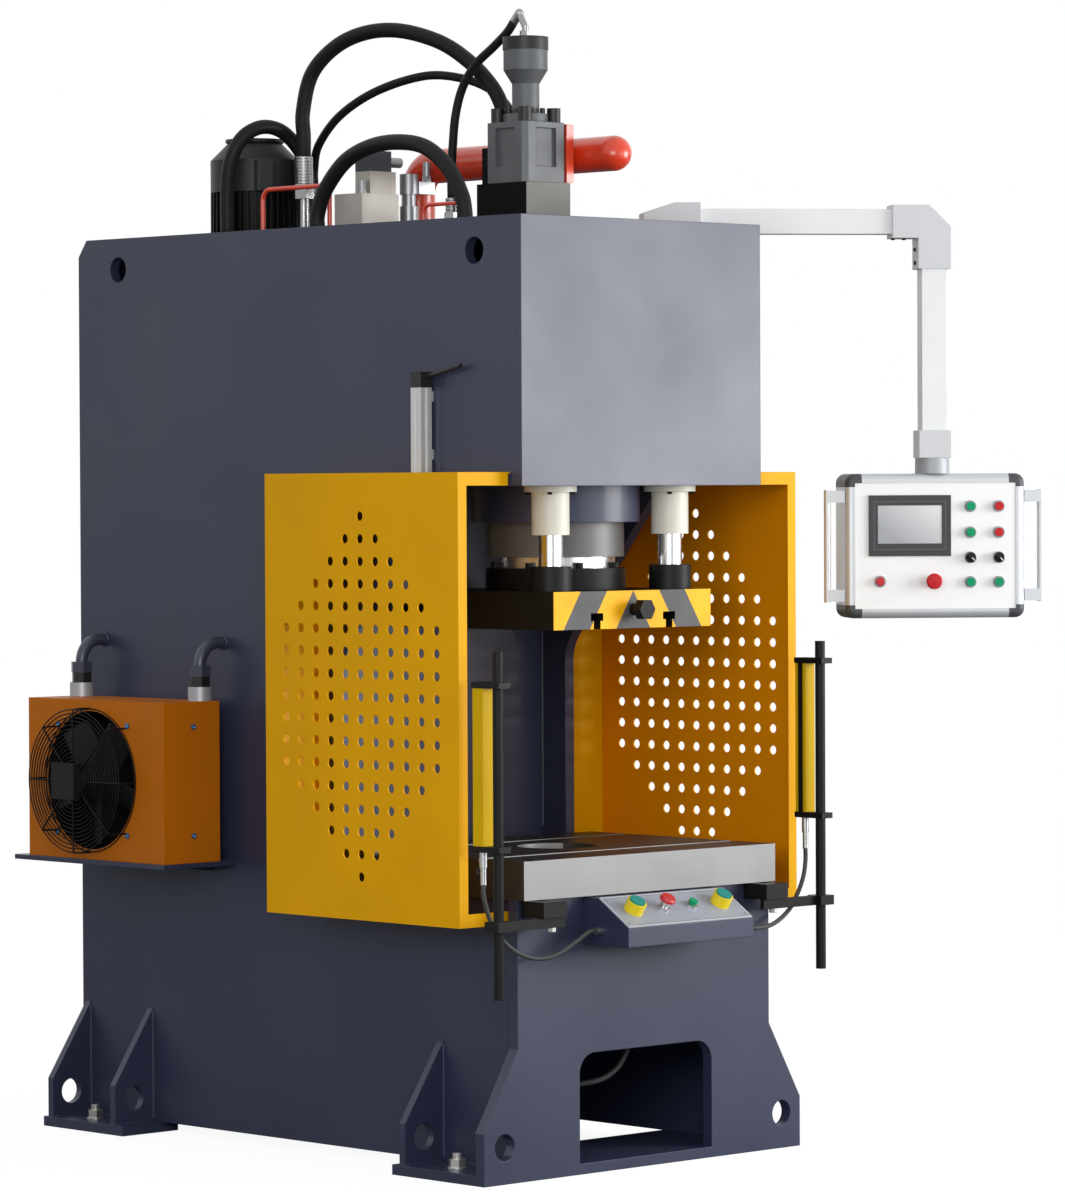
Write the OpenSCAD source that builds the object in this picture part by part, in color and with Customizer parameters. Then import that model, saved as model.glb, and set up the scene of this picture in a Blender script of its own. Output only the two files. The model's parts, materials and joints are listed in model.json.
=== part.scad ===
// Hydraulic C-frame press with guards, light curtain, oil cooler and swinging pendant.
// Millimetres, +X right from the front, +Y to the rear, +Z up.
// The origin is on the floor, straight below the ram's axis.

/* [Frame] */
// Width over the side plates
frame_w = 816; // [760:1:860]
// Depth from the head's front face to the rear edge
frame_d = 1678; // [1660:1:1800]
// Height of the frame above the floor
frame_h = 2300; // [2280:1:2500]
// Thickness of the side plates
side_t = 30; // [20:1:40]
// Thickness of the head's front plate and of the apron
front_t = 30; // [20:1:40]
// Height of the head's underside
head_z = 1655; // [1640:1:1700]
// Thickness of the head's bottom plate
head_floor_t = 60; // [40:1:80]
// Thickness of the top plate
roof_t = 30; // [15:1:40]
// How far the top plate lies below the top edges
roof_drop = 15; // [5:1:30]
// Depth of the throat, front face to plate edge
throat_d = 671; // [640:1:700]
// Radius between the throat's upright and slanted edges
throat_r = 95; // [60:1:120]
// Height where the throat's edge begins to slant
throat_slant_z = 1244; // [1220:1:1270]
// Front face to the upper end of the slanted edge
throat_slant_y = 330; // [310:1:360]
// Front face to the back web
web_y = 757; // [740:1:800]
// Thickness of the back web
web_t = 22; // [12:1:40]
// Thickness of the rear panel
rear_t = 20; // [10:1:30]
// Setback of the rear panel from the rear edge
rear_setback = 35; // [34:1:60]
// Cut at the upper rear corner, along the depth
chamfer_y = 33; // [10:1:34]
// Cut at the upper rear corner, along the height
chamfer_z = 43; // [10:1:60]
// Diameter of the lifting holes in the side plates
lift_hole_d = 65; // [40:1:80]
// Lifting holes, distance from the front face and from the rear edge
lift_inset = 163; // [120:1:200]
// Lifting holes, distance below the top edge
lift_drop = 81; // [60:1:110]

/* [Apron and feet] */
// How far the apron stands out past each side plate
apron_over = 22; // [15:1:40]
// How far the feet stand out past each side plate
foot_out = 133; // [110:1:170]
// Height where the apron starts to flare
flare_z = 317; // [300:1:360]
// Height of the feet's upright outer edge
foot_edge_z = 125; // [110:1:150]
// Thickness of the foot plates
foot_t = 25; // [20:1:30]
// Length of the front foot plates
front_foot_l = 295; // [260:1:340]
// Length of the rear foot plates
rear_foot_l = 325; // [280:1:360]
// Thickness of the gussets
gusset_t = 20; // [12:1:30]
// Diameter of the holes in apron and gussets
foot_hole_d = 64; // [40:1:70]
// Height of those holes
foot_hole_z = 88; // [75:1:95]
// Those holes, distance from the foot's outer edge
foot_hole_inset = 67; // [50:1:70]
// Width of the apron window
window_w = 452; // [300:1:500]
// Height of the apron window
window_h = 265; // [150:1:280]
// Sill of the apron window above the floor
window_z = 26; // [25:1:50]
// Radius of the window's upper corners
window_r = 50; // [10:1:80]
// Floor bolts, distance outside the side plates
bolt_out = 72; // [52:1:92]
// Front floor bolts, distance behind the front face
front_bolt_y = 160; // [120:1:200]
// Rear floor bolts, distance before the rear edge
rear_bolt_inset = 138; // [110:1:170]
// Diameter of the floor bolts
floor_bolt_d = 24; // [16:1:30]
// Diameter of the floor bolt holes
floor_hole_d = 28; // [26:1:34]

/* [Table] */
// Width of the table
table_w = 860; // [820:1:900]
// Depth of the table
table_d = 655; // [600:1:660]
// Thickness of the table
table_t = 94; // [70:1:120]
// Height of the table's underside
table_z = 671; // [650:1:690]
// How far the table stands out in front
table_overhang = 24; // [0:1:40]
// Diameter of the hole through the table
table_bore_d = 196; // [100:1:260]
// T-slots, distance before and behind the ram axis
table_slot_off = 190; // [150:1:220]

/* [Ram and platen] */
// Ram axis, distance behind the front face
ram_y = 312; // [300:1:330]
// Diameter of the cylinder
cylinder_d = 418; // [380:1:430]
// How far the cylinder stands below the head
cylinder_drop = 89; // [60:1:110]
// Diameter of the ram
ram_d = 340; // [260:1:350]
// Diameter of the ram's neck
neck_d = 296; // [240:1:300]
// Height of the neck
neck_h = 28; // [15:1:40]
// Diameter of the ram flange
flange_d = 346; // [320:1:360]
// Thickness of the ram flange
flange_t = 53; // [35:1:60]
// Width of the platen
platen_w = 537; // [520:1:560]
// Depth of the platen
platen_d = 546; // [520:1:548]
// Thickness of the platen
platen_t = 92; // [80:1:110]
// Height of the platen's underside at the top of the stroke
platen_z = 1308; // [1290:1:1320]
// Stroke of the ram
stroke = 400; // [300:1:420]
// Guide rods, distance from the ram axis across the press
guide_x = 204; // [200:1:210]
// Guide rods, distance from the ram axis along the depth
guide_y = 196; // [190:1:205]
// Diameter of the guide rods
rod_d = 60; // [40:1:64]
// Diameter of the guide bushes
bush_d = 92; // [84:1:96]
// How far the guide bushes stand below the head
bush_drop = 119; // [80:1:130]
// Diameter of the bush flanges
bush_flange_d = 128; // [110:1:134]
// Diameter of the rod collars
collar_d = 104; // [84:1:110]
// Height of the rod collars
collar_h = 60; // [30:1:70]
// T-slots in the platen, distance from the centre plane
platen_slot_x = 123; // [100:1:140]

/* [Guards] */
// Guards, outer face to the side plates
guard_out = 169; // [150:1:230]
// Sheet thickness of the guards
guard_t = 4; // [2:0.5:6]
// Front edge of the guards behind the front face
guard_front = 42; // [38:1:60]
// Length of the guards
guard_l = 698; // [690:1:730]
// Lower edge of the guards
guard_z = 611; // [560:1:640]
// Height of the guards
guard_h = 1077; // [1060:1:1120]
// Width of the folded front lips
guard_lip = 28; // [15:1:40]
// Diameter of the guard holes
guard_hole_d = 23; // [12:1:30]
// Pitch of the guard holes
guard_pitch = 54.3; // [45:0.1:56]

/* [Light curtain] */
// Diameter of the posts
post_d = 25; // [18:1:26]
// Posts, distance outside the side plates
post_out = 143; // [130:1:170]
// Posts, distance before the front face
post_front = 65; // [60:1:80]
// Lower end of the posts
post_z = 448; // [400:1:480]
// Length of the posts
post_l = 818; // [800:1:860]
// Side of the light bars
bar_w = 34; // [28:1:36]
// Length of the light bars
bar_l = 372; // [340:1:380]
// Bars, distance behind the posts
bar_back = 52; // [50:1:56]
// Lower end of the left bar
left_bar_z = 808; // [800:1:820]
// Lower end of the right bar
right_bar_z = 838; // [830:1:850]

/* [Console] */
// Width of the two-hand console
console_w = 428; // [400:1:460]
// Depth of the console
console_d = 157; // [150:1:170]
// Depth of the console's flat top
console_top_d = 51; // [40:1:60]
// Underside of the console
console_z = 555; // [548:1:560]
// Height of the console at its back
console_back_h = 113; // [105:1:115]
// Height of the console's front lip
console_front_h = 45; // [35:1:50]
// Travel of the console's buttons
press_travel = 4; // [2:0.5:5]

/* [Prefill valve and pipes] */
// Prefill valve axis, distance behind the front face
prefill_y = 411; // [400:1:430]
// Side of the prefill valve's body
prefill_w = 146; // [130:1:148]
// Height of the prefill valve's body
prefill_h = 150; // [140:1:165]
// Height of the spacer block under it
spacer_h = 120; // [110:1:130]
// Diameter of the red suction pipe
suction_d = 88; // [76:1:90]
// Suction pipe, distance from the centre plane
suction_x = 160; // [155:1:170]

/* [Motor] */
// Diameter over the motor's fins
motor_d = 230; // [200:1:236]
// Motor axis across the press
motor_x = -130; // [-135:1:-120]
// Motor axis, distance behind the front face
motor_y = 1294; // [1290:1:1310]
// Height of the motor body
motor_h = 132; // [110:1:160]
// Height of the motor's fan cowl
cowl_h = 138; // [110:1:150]

/* [Oil cooler] */
// Depth of the cooler box, out from the frame
cooler_t = 182; // [160:1:200]
// Length of the cooler box
cooler_l = 545; // [530:1:560]
// Height of the cooler box
cooler_h = 405; // [390:1:430]
// Gap between the cooler and the frame
cooler_gap = 39; // [30:1:60]
// Rear end of the cooler before the frame's rear edge
cooler_rear = 61; // [55:1:120]
// Top of the cooler's shelf
shelf_z = 713; // [690:1:720]
// Fan axis, distance behind the cooler's front end
fan_off = 292; // [282:1:302]
// Fan axis above the shelf
fan_z = 201; // [195:1:208]
// Diameter of the fan guard
grille_d = 366; // [350:1:370]
// Diameter of the fan
fan_d = 326; // [290:1:330]

/* [Pendant] */
// Boom pivot, distance outside the right side plate
boom_out = 47; // [47:1:60]
// Boom pivot, distance behind the front face
boom_y = 353; // [330:1:380]
// Angle of the boom towards the front
boom_turn = 37; // [0:1:60]
// Reach of the boom from pivot to drop tube
boom_reach = 668; // [640:1:760]
// Side of the boom tube
boom_w = 63; // [55:1:66]
// Lower end of the drop tube
drop_z = 1758; // [1750:1:1850]
// Width of the pendant
pendant_w = 464; // [440:1:520]
// Height of the pendant
pendant_h = 368; // [350:1:390]
// Depth of the pendant
pendant_d = 160; // [120:1:180]
// Swivel axis, distance behind the pendant's front
pendant_front = 44; // [44:1:70]
// Travel of the pendant's buttons
key_travel = 3; // [2:0.5:4]

/* [Fits] */
// Radial play of parts that run in each other
run_fit = 0.05; // [0.02:0.01:0.1]
// Gap between faces that must not touch
face_gap = 0.3; // [0.2:0.1:0.6]

/* [Hidden] */
$fn = 64;
front_y = -ram_y;
apron_w = frame_w + 2 * apron_over;
foot_w = frame_w + 2 * foot_out;
bolt_x = frame_w / 2 + bolt_out;
guard_x = frame_w / 2 + guard_out;
post_x = frame_w / 2 + post_out;
boom_x = frame_w / 2 + boom_out;
inner_w = frame_w - 2 * side_t;
roof_z = frame_h - roof_drop;
ram_pos = deep(ram_y);
platen_top = platen_z + platen_t;
ram_z = platen_top + flange_t + neck_h;
barrel_top = roof_z - roof_t - 40;
barrel_end = barrel_top - 50;
ram_top = ram_z + stroke + 220;
rod_top = head_z + stroke + 20;
bush_flange_t = 15;
cylinder_seat_d = cylinder_d + 56;
cylinder_seat_t = 45;
gusset_h = flare_z - foot_t;
guard_rear = guard_front + guard_l;
guard_top = guard_z + guard_h;
guard_rows = 17;
guard_row_max = 11;
sensor_y = 326;
sensor_w = 36;
sensor_x = frame_w / 2 + 7 + sensor_w / 2;
sensor_z = 1560;
sensor_top = 1893;
sensor_clamps = [sensor_z + 160, sensor_z + 300];
arm_z = 620;
arm_h = 24;
arm_t = 12;
arm_end = frame_w / 2 - 68;
block_x = frame_w / 2 - 28;
block_w = 76;
console_wall = 3;
console_plate_t = 3;
console_rim = 8;
console_rise = console_back_h - console_front_h;
console_run = console_d - console_top_d;
console_slope = atan2(console_rise, console_run);
console_face_l = sqrt(console_rise * console_rise + console_run * console_run);
palm_x = 148;
stop_x = -45;
reset_x = 50;
palm_d = 40;
palm_ring_d = 49;
palm_ring_h = 28;
stem_d = 16;
stem_l = 22;
prefill_z = roof_z + spacer_h;
prefill_top = prefill_z + prefill_h;
recess_w = 68;
recess_h = 95;
recess_z = 40;
pilot_flange_t = 22;
pilot_neck_h = 75;
pilot_cone_h = 34;
pilot_cup_h = 50;
pilot_cap_h = 32;
pilot_top = prefill_top + pilot_flange_t + pilot_neck_h + pilot_cone_h + pilot_cup_h + pilot_cap_h;
suction_z = prefill_z + prefill_h / 2;
suction_flange_t = 24;
suction_front = 262;
suction_rear = 915;
suction_bend_r = 70;
port_block_h = 95;
manifold_x = -150;
manifold_y = 856;
manifold_w = 125;
manifold_d = 104;
manifold_h = 113;
upper_block_x = -112;
upper_block_y = 866;
upper_block_w = 87;
upper_block_d = 57;
upper_block_h = 57;
coil_w = 72;
coil_h = 52;
cartridge_d = 47;
cartridge_x = 36;
cartridge_y = 884;
cooler_y = frame_d - cooler_rear - cooler_l;
fan_y = cooler_y + fan_off;
mouth_d = grille_d - 14;
shelf_over = 44;
shelf_t = 12;
cooler_x = -frame_w / 2 - cooler_gap;
cooler_face = cooler_x - cooler_t;
cooler_wall = 4;
fan_axis_z = shelf_z + fan_z;
socket_d = 62;
socket_h = 36;
socket_inset = 31;
cooler_pipe_d = 31;
cooler_pipe_r = 57;
cooler_pipe_x = cooler_x - 37;
grille_stand = 58;
grille_bar = 3;
grille_rings = 9;
grille_pitch = 15;
fan_motor_d = 92;
fan_hub_d = 96;
fan_hub_t = 36;
fan_shaft_d = 12;
fan_blades = 5;
boom_z = frame_h - 7.5;
boom_wall = 4;
elbow_w = boom_w + 21;
elbow_lap = 66;
elbow_cut = 55;
elbow_bottom = frame_h + 0.5;
elbow_drop = 78;
base_back = 79;
base_front = 67;
base_rise = 5;
base_fall = 26;
spigot_d = 50;
spigot_l = 120;
bearing_d = 92;
bearing_pad_w = 60;
bearing_z = frame_h - 120;
base_step = bearing_d / 2 + 1.5;
clamp_h = 70;
clamp_w = 82;
coupling_d = 88;
coupling_h = 40;
swivel_d = 40;
swivel_l = 30;
pendant_top = drop_z - clamp_h / 2 - coupling_h;
pendant_z = pendant_top - pendant_h;
pendant_wall = 24;
pendant_round = 18;
panel_t = 3;
bezel_w = 212;
bezel_h = 155;
bezel_u = -67;
bezel_v = 235.5;
screen_w = 165;
screen_h = 97;
key_u = [89.5, 163];
key_v = [284.5, 218, 91.5];
selector_v = 154;
stop_u = -8;
stop_v = 94;
lamp_u = -144;
key_d = 22;
key_stem_d = 12;
key_ring_d = 30;
handle_out = 44;
handle_span = 252;
handle_d = 18;
handle_back = 20;
hex_ratio = 2 / sqrt(3);

// Hose and cable routes, listed point by point; depths are measured behind the front face,
// and the heights of the first five above the roof.
pressure_route = [[-100, 1136, 220], [-100, 1136, 275], [-100, 1138, 335], [-94, 1110, 430], [-78, 1038, 495],
    [-56, 947, 527], [-32, 840, 527], [-4, 721, 492], [16, 632, 437], [30, 568, 375], [36, 538, 325],
    [36, 536, 295], [36, 536, 275]];
pilot_route = [[-18, 1189, 155], [-18, 1189, 195], [-27, 1160, 255], [-25, 1077, 327], [-10, 950, 383],
    [20, 800, 413], [45, 682, 399], [64, 600, 365], [74, 552, 320], [74, 548, 295], [74, 548, 275]];
drain_route = [[-274, 1234, 15], [-274, 1234, 135], [-270, 1226, 205], [-248, 1210, 262], [-205, 1195, 292],
    [-155, 1188, 294], [-108, 1184, 272], [-72, 1170, 220], [-62, 1166, 150], [-62, 1166, 75]];
return_route = [[-330, 820, 15], [-330, 820, 50], [-330, 790, 110], [-330, 716, 176], [-330, 624, 208],
    [-330, 524, 215], [-330, 422, 198], [-330, 340, 145], [-330, 292, 77], [-330, 280, 35], [-330, 280, 15]];
vent_route = [[0, 452, 525], [-3, 474, 499], [-8, 520, 465], [-14, 578, 425], [-18, 622, 370], [-20, 646, 303],
    [-21, 656, 225], [-22, 660, 155], [-22, 660, 95]];
left_cable_route = [[-551, -13, 716], [-551, -13, 690], [-535, -14, 640], [-515, -20, 604], [-488, -25, 572],
    [-446, -32, 546], [-397, -42, 534], [-344, -52, 543], [-292, -60, 570], [-252, -62, 590], [-230, -62, 590]];
right_cable_route = [[551, -13, 746], [551, -13, 715], [541, -15, 676], [515, -20, 636], [472, -30, 597],
    [400, -46, 568], [325, -56, 562], [285, -60, 576], [252, -62, 590], [230, -62, 590]];
conduit_route = [[90, 50, 600], [90, 75, 600], [92, 120, 550], [92, 130, 450], [88, 135, 350], [75, 142, 270],
    [40, 155, 215], [-20, 180, 190], [-90, 240, 190], [-150, 340, 220], [-182, 480, 290], [-190, 620, 345],
    [-190, 707, 360], [-190, 737, 360]];
pressure_hose_d = 38;
pilot_hose_d = 22;
drain_hose_d = 37;
return_hose_d = 39;
vent_hose_d = 22;
cable_d = 11;
conduit_d = 14;

// Depth behind the head's front face, as a place along Y
function deep(y) = front_y + y;
// A route with its depths turned into places
function placed(route) = [for (p = route) [p[0], deep(p[1]), p[2]]];
// A route whose heights are measured from the roof, with a shift across the press
function on_roof(route, shift = 0) = [for (p = route) [p[0] + shift, deep(p[1]), roof_z + p[2]]];
// Shift that keeps the return hose beside the left side plate
function return_shift() = 378 - inner_w / 2;
function unit(v) = v / norm(v);

// Box between two corners
module slab(a, b) {
    translate(a) cube(b - a);
}

// Flat shape drawn in depth and height, thick along X
module upright_yz(x, t) {
    translate([x, 0, 0]) rotate([90, 0, 90]) linear_extrude(t) children();
}

// Flat shape drawn in width and height, thick along Y
module upright_xz(y, t) {
    translate([0, y + t, 0]) rotate([90, 0, 0]) linear_extrude(t) children();
}

// Cylinder from a point along a direction
module rod_along(p, dir, len, d) {
    v = unit(dir);
    turn = atan2(v[1], v[0]);
    lean = acos(v[2]);
    translate(p) rotate([0, lean, turn]) cylinder(d = d, h = len);
}

// Tube swept along a route; side is a vector that the route never follows
module swept_tube(route, d, side, sides = 10) {
    n = len(route);
    rings = [for (i = [0:n - 1])
        let (t = unit(route[min(i + 1, n - 1)] - route[max(i - 1, 0)]))
        let (u = unit(side - t * (side * t)))
        let (v = cross(t, u))
        [for (k = [0:sides - 1])
            route[i] + (u * cos(360 * k / sides) + v * sin(360 * k / sides)) * d / 2]];
    points = [for (r = rings) for (p = r) p];
    walls = [for (i = [0:n - 2]) for (k = [0:sides - 1])
        let (a = i * sides + k, b = i * sides + (k + 1) % sides)
        for (f = [[a, b, b + sides], [a, b + sides, a + sides]]) f];
    start = [for (k = [0:sides - 1]) sides - 1 - k];
    end = [for (k = [0:sides - 1]) (n - 1) * sides + k];
    polyhedron(points, [for (f = concat(walls, [start, end])) [for (j = [len(f) - 1:-1:0]) f[j]]]);
}

// Mirror image as well as the thing itself
module both_sides() {
    children();
    mirror([1, 0, 0]) children();
}

// Places of the four guide rods
module at_guides() {
    for (sx = [-1, 1], sy = [-1, 1]) translate([sx * guide_x, ram_pos + sy * guide_y, 0]) children();
}

// Outline of one C-shaped side plate, in depth and height
module side_outline() {
    slant = atan2(throat_d - throat_slant_y, head_z - throat_slant_z);
    blend = throat_r * tan(slant / 2);
    blend_ease = 0.5;
    difference() {
        polygon([[deep(front_t), foot_t], [deep(frame_d), foot_t], [deep(frame_d), frame_h - chamfer_z],
            [deep(frame_d - chamfer_y), frame_h], [deep(front_t), frame_h]]);
        polygon([[deep(front_t) - 1, table_z], [deep(throat_d), table_z], [deep(throat_d), throat_slant_z - blend],
            [deep(throat_d) - blend * sin(slant), throat_slant_z + blend * cos(slant)],
            [deep(throat_slant_y), head_z], [deep(front_t) - 1, head_z]]);
        translate([deep(throat_d - throat_r), throat_slant_z - blend]) circle(throat_r - blend_ease);
        for (y = [lift_inset, frame_d - lift_inset])
            translate([deep(y), frame_h - lift_drop]) circle(d = lift_hole_d);
    }
}

module side_plates() {
    color([0.25, 0.26, 0.32]) both_sides() upright_yz(inner_w / 2, side_t) side_outline();
}

module head_plates() {
    color([0.45, 0.46, 0.52]) {
        slab([-frame_w / 2, front_y, head_z], [frame_w / 2, deep(front_t), frame_h]);
        difference() {
            slab([-inner_w / 2, deep(front_t), head_z], [inner_w / 2, deep(web_y + web_t), head_z + head_floor_t]);
            translate([0, ram_pos, head_z - 1]) cylinder(d = cylinder_d + 2 * face_gap, h = head_floor_t + 2);
            at_guides() translate([0, 0, head_z - 1]) cylinder(d = bush_d + 2 * face_gap, h = head_floor_t + 2);
        }
        slab([-inner_w / 2, deep(front_t), roof_z - roof_t],
            [inner_w / 2, deep(frame_d - rear_setback + 1), roof_z]);
    }
}

module rear_plates() {
    color([0.22, 0.23, 0.29]) {
        slab([-inner_w / 2, deep(web_y), foot_t], [inner_w / 2, deep(web_y + web_t), head_z]);
        slab([-inner_w / 2, deep(frame_d - rear_setback - rear_t), foot_t],
            [inner_w / 2, deep(frame_d - rear_setback), roof_z - roof_t]);
    }
}

// Half outline of apron and gussets: straight, flared, then upright down to the floor
module foot_flare(inner_x, low_z) {
    polygon([[inner_x, low_z], [foot_w / 2, low_z], [foot_w / 2, foot_edge_z], [apron_w / 2, flare_z],
        [inner_x, flare_z]]);
}

module window_shape() {
    straight_h = window_h - window_r;
    translate([-window_w / 2, window_z]) square([window_w, straight_h]);
    translate([-window_w / 2 + window_r, window_z]) square([window_w - 2 * window_r, window_h]);
    for (s = [-1, 1]) translate([s * (window_w / 2 - window_r), window_z + straight_h]) circle(window_r);
}

module apron_plate() {
    color([0.31, 0.32, 0.37]) upright_xz(front_y, front_t) difference() {
        polygon([[-foot_w / 2, 0], [foot_w / 2, 0], [foot_w / 2, foot_edge_z], [apron_w / 2, flare_z],
            [apron_w / 2, table_z], [-apron_w / 2, table_z], [-apron_w / 2, flare_z], [-foot_w / 2, foot_edge_z]]);
        window_shape();
        for (s = [-1, 1]) translate([s * (foot_w / 2 - foot_hole_inset), foot_hole_z]) circle(d = foot_hole_d);
    }
}

// Triangular gusset against the side plate, with its hole
module gusset(y) {
    upright_xz(y, gusset_t) difference() {
        polygon([[frame_w / 2, foot_t], [foot_w / 2 - 6, foot_t], [foot_w / 2 - 6, foot_edge_z],
            [frame_w / 2, flare_z]]);
        translate([foot_w / 2 - foot_hole_inset, foot_hole_z]) circle(d = foot_hole_d);
    }
}

// Foot plate with one floor bolt hole
module foot_plate(y0, y1, bolt_y) {
    difference() {
        slab([inner_w / 2 - 20, y0, 0], [foot_w / 2, y1, foot_t]);
        translate([bolt_x, bolt_y, -1]) cylinder(d = floor_hole_d, h = foot_t + 2);
    }
}

module feet() {
    front_end = deep(front_t + front_foot_l);
    rear_start = deep(frame_d - rear_foot_l);
    color([0.24, 0.25, 0.31]) {
        both_sides() {
            foot_plate(deep(front_t), front_end, deep(front_bolt_y));
            gusset(front_end - 20 - gusset_t);
            foot_plate(rear_start, deep(frame_d), deep(frame_d - rear_bolt_inset));
            gusset(rear_start + 38);
            gusset(deep(frame_d) - 12 - gusset_t);
        }
        slab([-inner_w / 2 + 20, deep(front_t), 0], [inner_w / 2 - 20, front_end, foot_t]);
    }
}

// Bolt with a nut and a washer, standing on a face
module floor_bolt() {
    translate([0, 0, foot_t]) cylinder(d = floor_bolt_d * 2, h = 4);
    translate([0, 0, foot_t + 4]) cylinder(d = floor_bolt_d * 1.5 * hex_ratio, h = floor_bolt_d * 0.8, $fn = 6);
    translate([0, 0, foot_t - 24]) cylinder(d = floor_bolt_d, h = 24 + 4 + floor_bolt_d * 0.8 + 14);
}

module frame_bolts() {
    color([0.3, 0.3, 0.33]) both_sides() {
        for (y = [front_bolt_y, frame_d - rear_bolt_inset]) translate([bolt_x, deep(y), 0]) floor_bolt();
        for (z = [guard_z + 90, guard_z + guard_h / 2, guard_top - 90])
            translate([frame_w / 2 + guard_t, deep(guard_rear - 20), z]) rotate([0, 90, 0])
                cylinder(d = 14, h = 7, $fn = 6);
        translate([block_x, deep(-post_front), arm_z - arm_h / 2 - 10])
            cylinder(d = 19 * hex_ratio, h = 10, $fn = 6);
    }
}

// T-slot profile cut along X through the table's top
module table_slot(y) {
    slab([-table_w / 2 - 1, y - 11, table_z + table_t - 40], [table_w / 2 + 1, y + 11, table_z + table_t + 1]);
    slab([-table_w / 2 - 1, y - 19, table_z + table_t - 40], [table_w / 2 + 1, y + 19, table_z + table_t - 24]);
}

module table() {
    color([0.5, 0.5, 0.5]) difference() {
        slab([-table_w / 2, deep(-table_overhang), table_z],
            [table_w / 2, deep(table_d - table_overhang), table_z + table_t]);
        translate([0, ram_pos, table_z - 1]) cylinder(d = table_bore_d, h = table_t + 2);
        for (s = [-1, 1]) table_slot(ram_pos + s * table_slot_off);
    }
}

module cylinder_barrel() {
    seat = head_z + head_floor_t;
    color([0.25, 0.26, 0.32]) translate([0, ram_pos, 0]) difference() {
        union() {
            translate([0, 0, head_z - cylinder_drop])
                cylinder(d = cylinder_d, h = barrel_top - head_z + cylinder_drop);
            translate([0, 0, seat]) cylinder(d = cylinder_seat_d, h = cylinder_seat_t);
        }
        translate([0, 0, head_z - cylinder_drop - 1])
            cylinder(d = ram_d + 2 * run_fit, h = barrel_end - head_z + cylinder_drop + 1);
    }
}

module guide_bushes() {
    color([0.88, 0.87, 0.8]) at_guides() difference() {
        union() {
            translate([0, 0, head_z - bush_drop]) cylinder(d = bush_d, h = bush_drop + head_floor_t - face_gap);
            translate([0, 0, head_z - bush_flange_t]) cylinder(d = bush_flange_d, h = bush_flange_t);
        }
        translate([0, 0, head_z - bush_drop - 1])
            cylinder(d = rod_d + 2 * run_fit, h = bush_drop + head_floor_t + 2);
    }
}

// Panel with its diamond of holes, drawn in depth and height
module guard_panel_shape() {
    mid_y = deep((guard_front + guard_rear) / 2);
    mid_z = guard_z + guard_h / 2;
    difference() {
        translate([deep(guard_front), guard_z]) square([guard_l, guard_h]);
        for (row = [0:guard_rows - 1]) {
            count = min(2 * row + 1, guard_row_max, 2 * (guard_rows - 1 - row) + 1);
            for (k = [0:count - 1])
                translate([mid_y + (k - (count - 1) / 2) * guard_pitch, mid_z + (row - (guard_rows - 1) / 2) * guard_pitch])
                    circle(d = guard_hole_d);
        }
    }
}

// Right-hand guard folded from one sheet; the left one is its mirror image
module guard_sheet(notch) {
    x_in = frame_w / 2;
    difference() {
        union() {
            upright_yz(guard_x - guard_t, guard_t) guard_panel_shape();
            slab([x_in, deep(guard_front), guard_top - guard_t], [guard_x - guard_t, deep(guard_rear), guard_top]);
            slab([x_in, deep(guard_front), guard_z], [guard_x - guard_t, deep(guard_rear), guard_z + guard_t]);
            slab([x_in, deep(guard_rear) - guard_t, guard_z + guard_t],
                [guard_x - guard_t, deep(guard_rear), guard_top - guard_t]);
            slab([x_in, deep(guard_rear) - guard_t - 36, guard_z + guard_t + 20],
                [x_in + guard_t, deep(guard_rear) - guard_t, guard_top - guard_t - 20]);
            slab([guard_x - guard_lip, deep(guard_front), guard_z + guard_t],
                [guard_x - guard_t, deep(guard_front) + guard_t, guard_top - guard_t]);
            slab([x_in + 6, deep(guard_front), guard_top - guard_t - guard_lip],
                [guard_x - guard_lip, deep(guard_front) + guard_t, guard_top - guard_t]);
            slab([x_in + 6, deep(guard_front), guard_z + guard_t],
                [guard_x - guard_lip, deep(guard_front) + guard_t, guard_z + guard_t + guard_lip]);
        }
        if (notch)
            slab([x_in - 1, deep(sensor_y) - sensor_w / 2 - 5, guard_top - guard_t - 1],
                [sensor_x + sensor_w / 2 + 5, deep(sensor_y) + sensor_w / 2 + 5, guard_top + 1]);
    }
}

module left_guard() {
    color([0.8, 0.59, 0.08]) mirror([1, 0, 0]) guard_sheet(true);
}

module right_guard() {
    color([0.8, 0.59, 0.08]) guard_sheet(false);
}

// Steel spacer under the prefill valve, port block behind it and the valve manifold
module steel_blocks() {
    color([0.55, 0.54, 0.52]) {
        slab([-prefill_w / 2 - 2, deep(prefill_y) - prefill_w / 2 - 7, roof_z],
            [prefill_w / 2 + 2, deep(prefill_y) + prefill_w / 2 + 26, prefill_z]);
        slab([-10, deep(prefill_y) + prefill_w / 2, prefill_z],
            [100, deep(prefill_y) + prefill_w / 2 + 76, prefill_z + port_block_h]);
        slab([manifold_x, deep(manifold_y), roof_z],
            [manifold_x + manifold_w, deep(manifold_y + manifold_d), roof_z + manifold_h]);
        slab([upper_block_x, deep(upper_block_y), roof_z + manifold_h],
            [upper_block_x + upper_block_w, deep(upper_block_y + upper_block_d), roof_z + manifold_h + upper_block_h]);
    }
}

// Square with cut corners
module cut_square(w, c) {
    h = w / 2;
    polygon([[h - c, -h], [h, -h + c], [h, h - c], [h - c, h], [-h + c, h], [-h, h - c], [-h, -h + c], [-h + c, -h]]);
}

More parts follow.
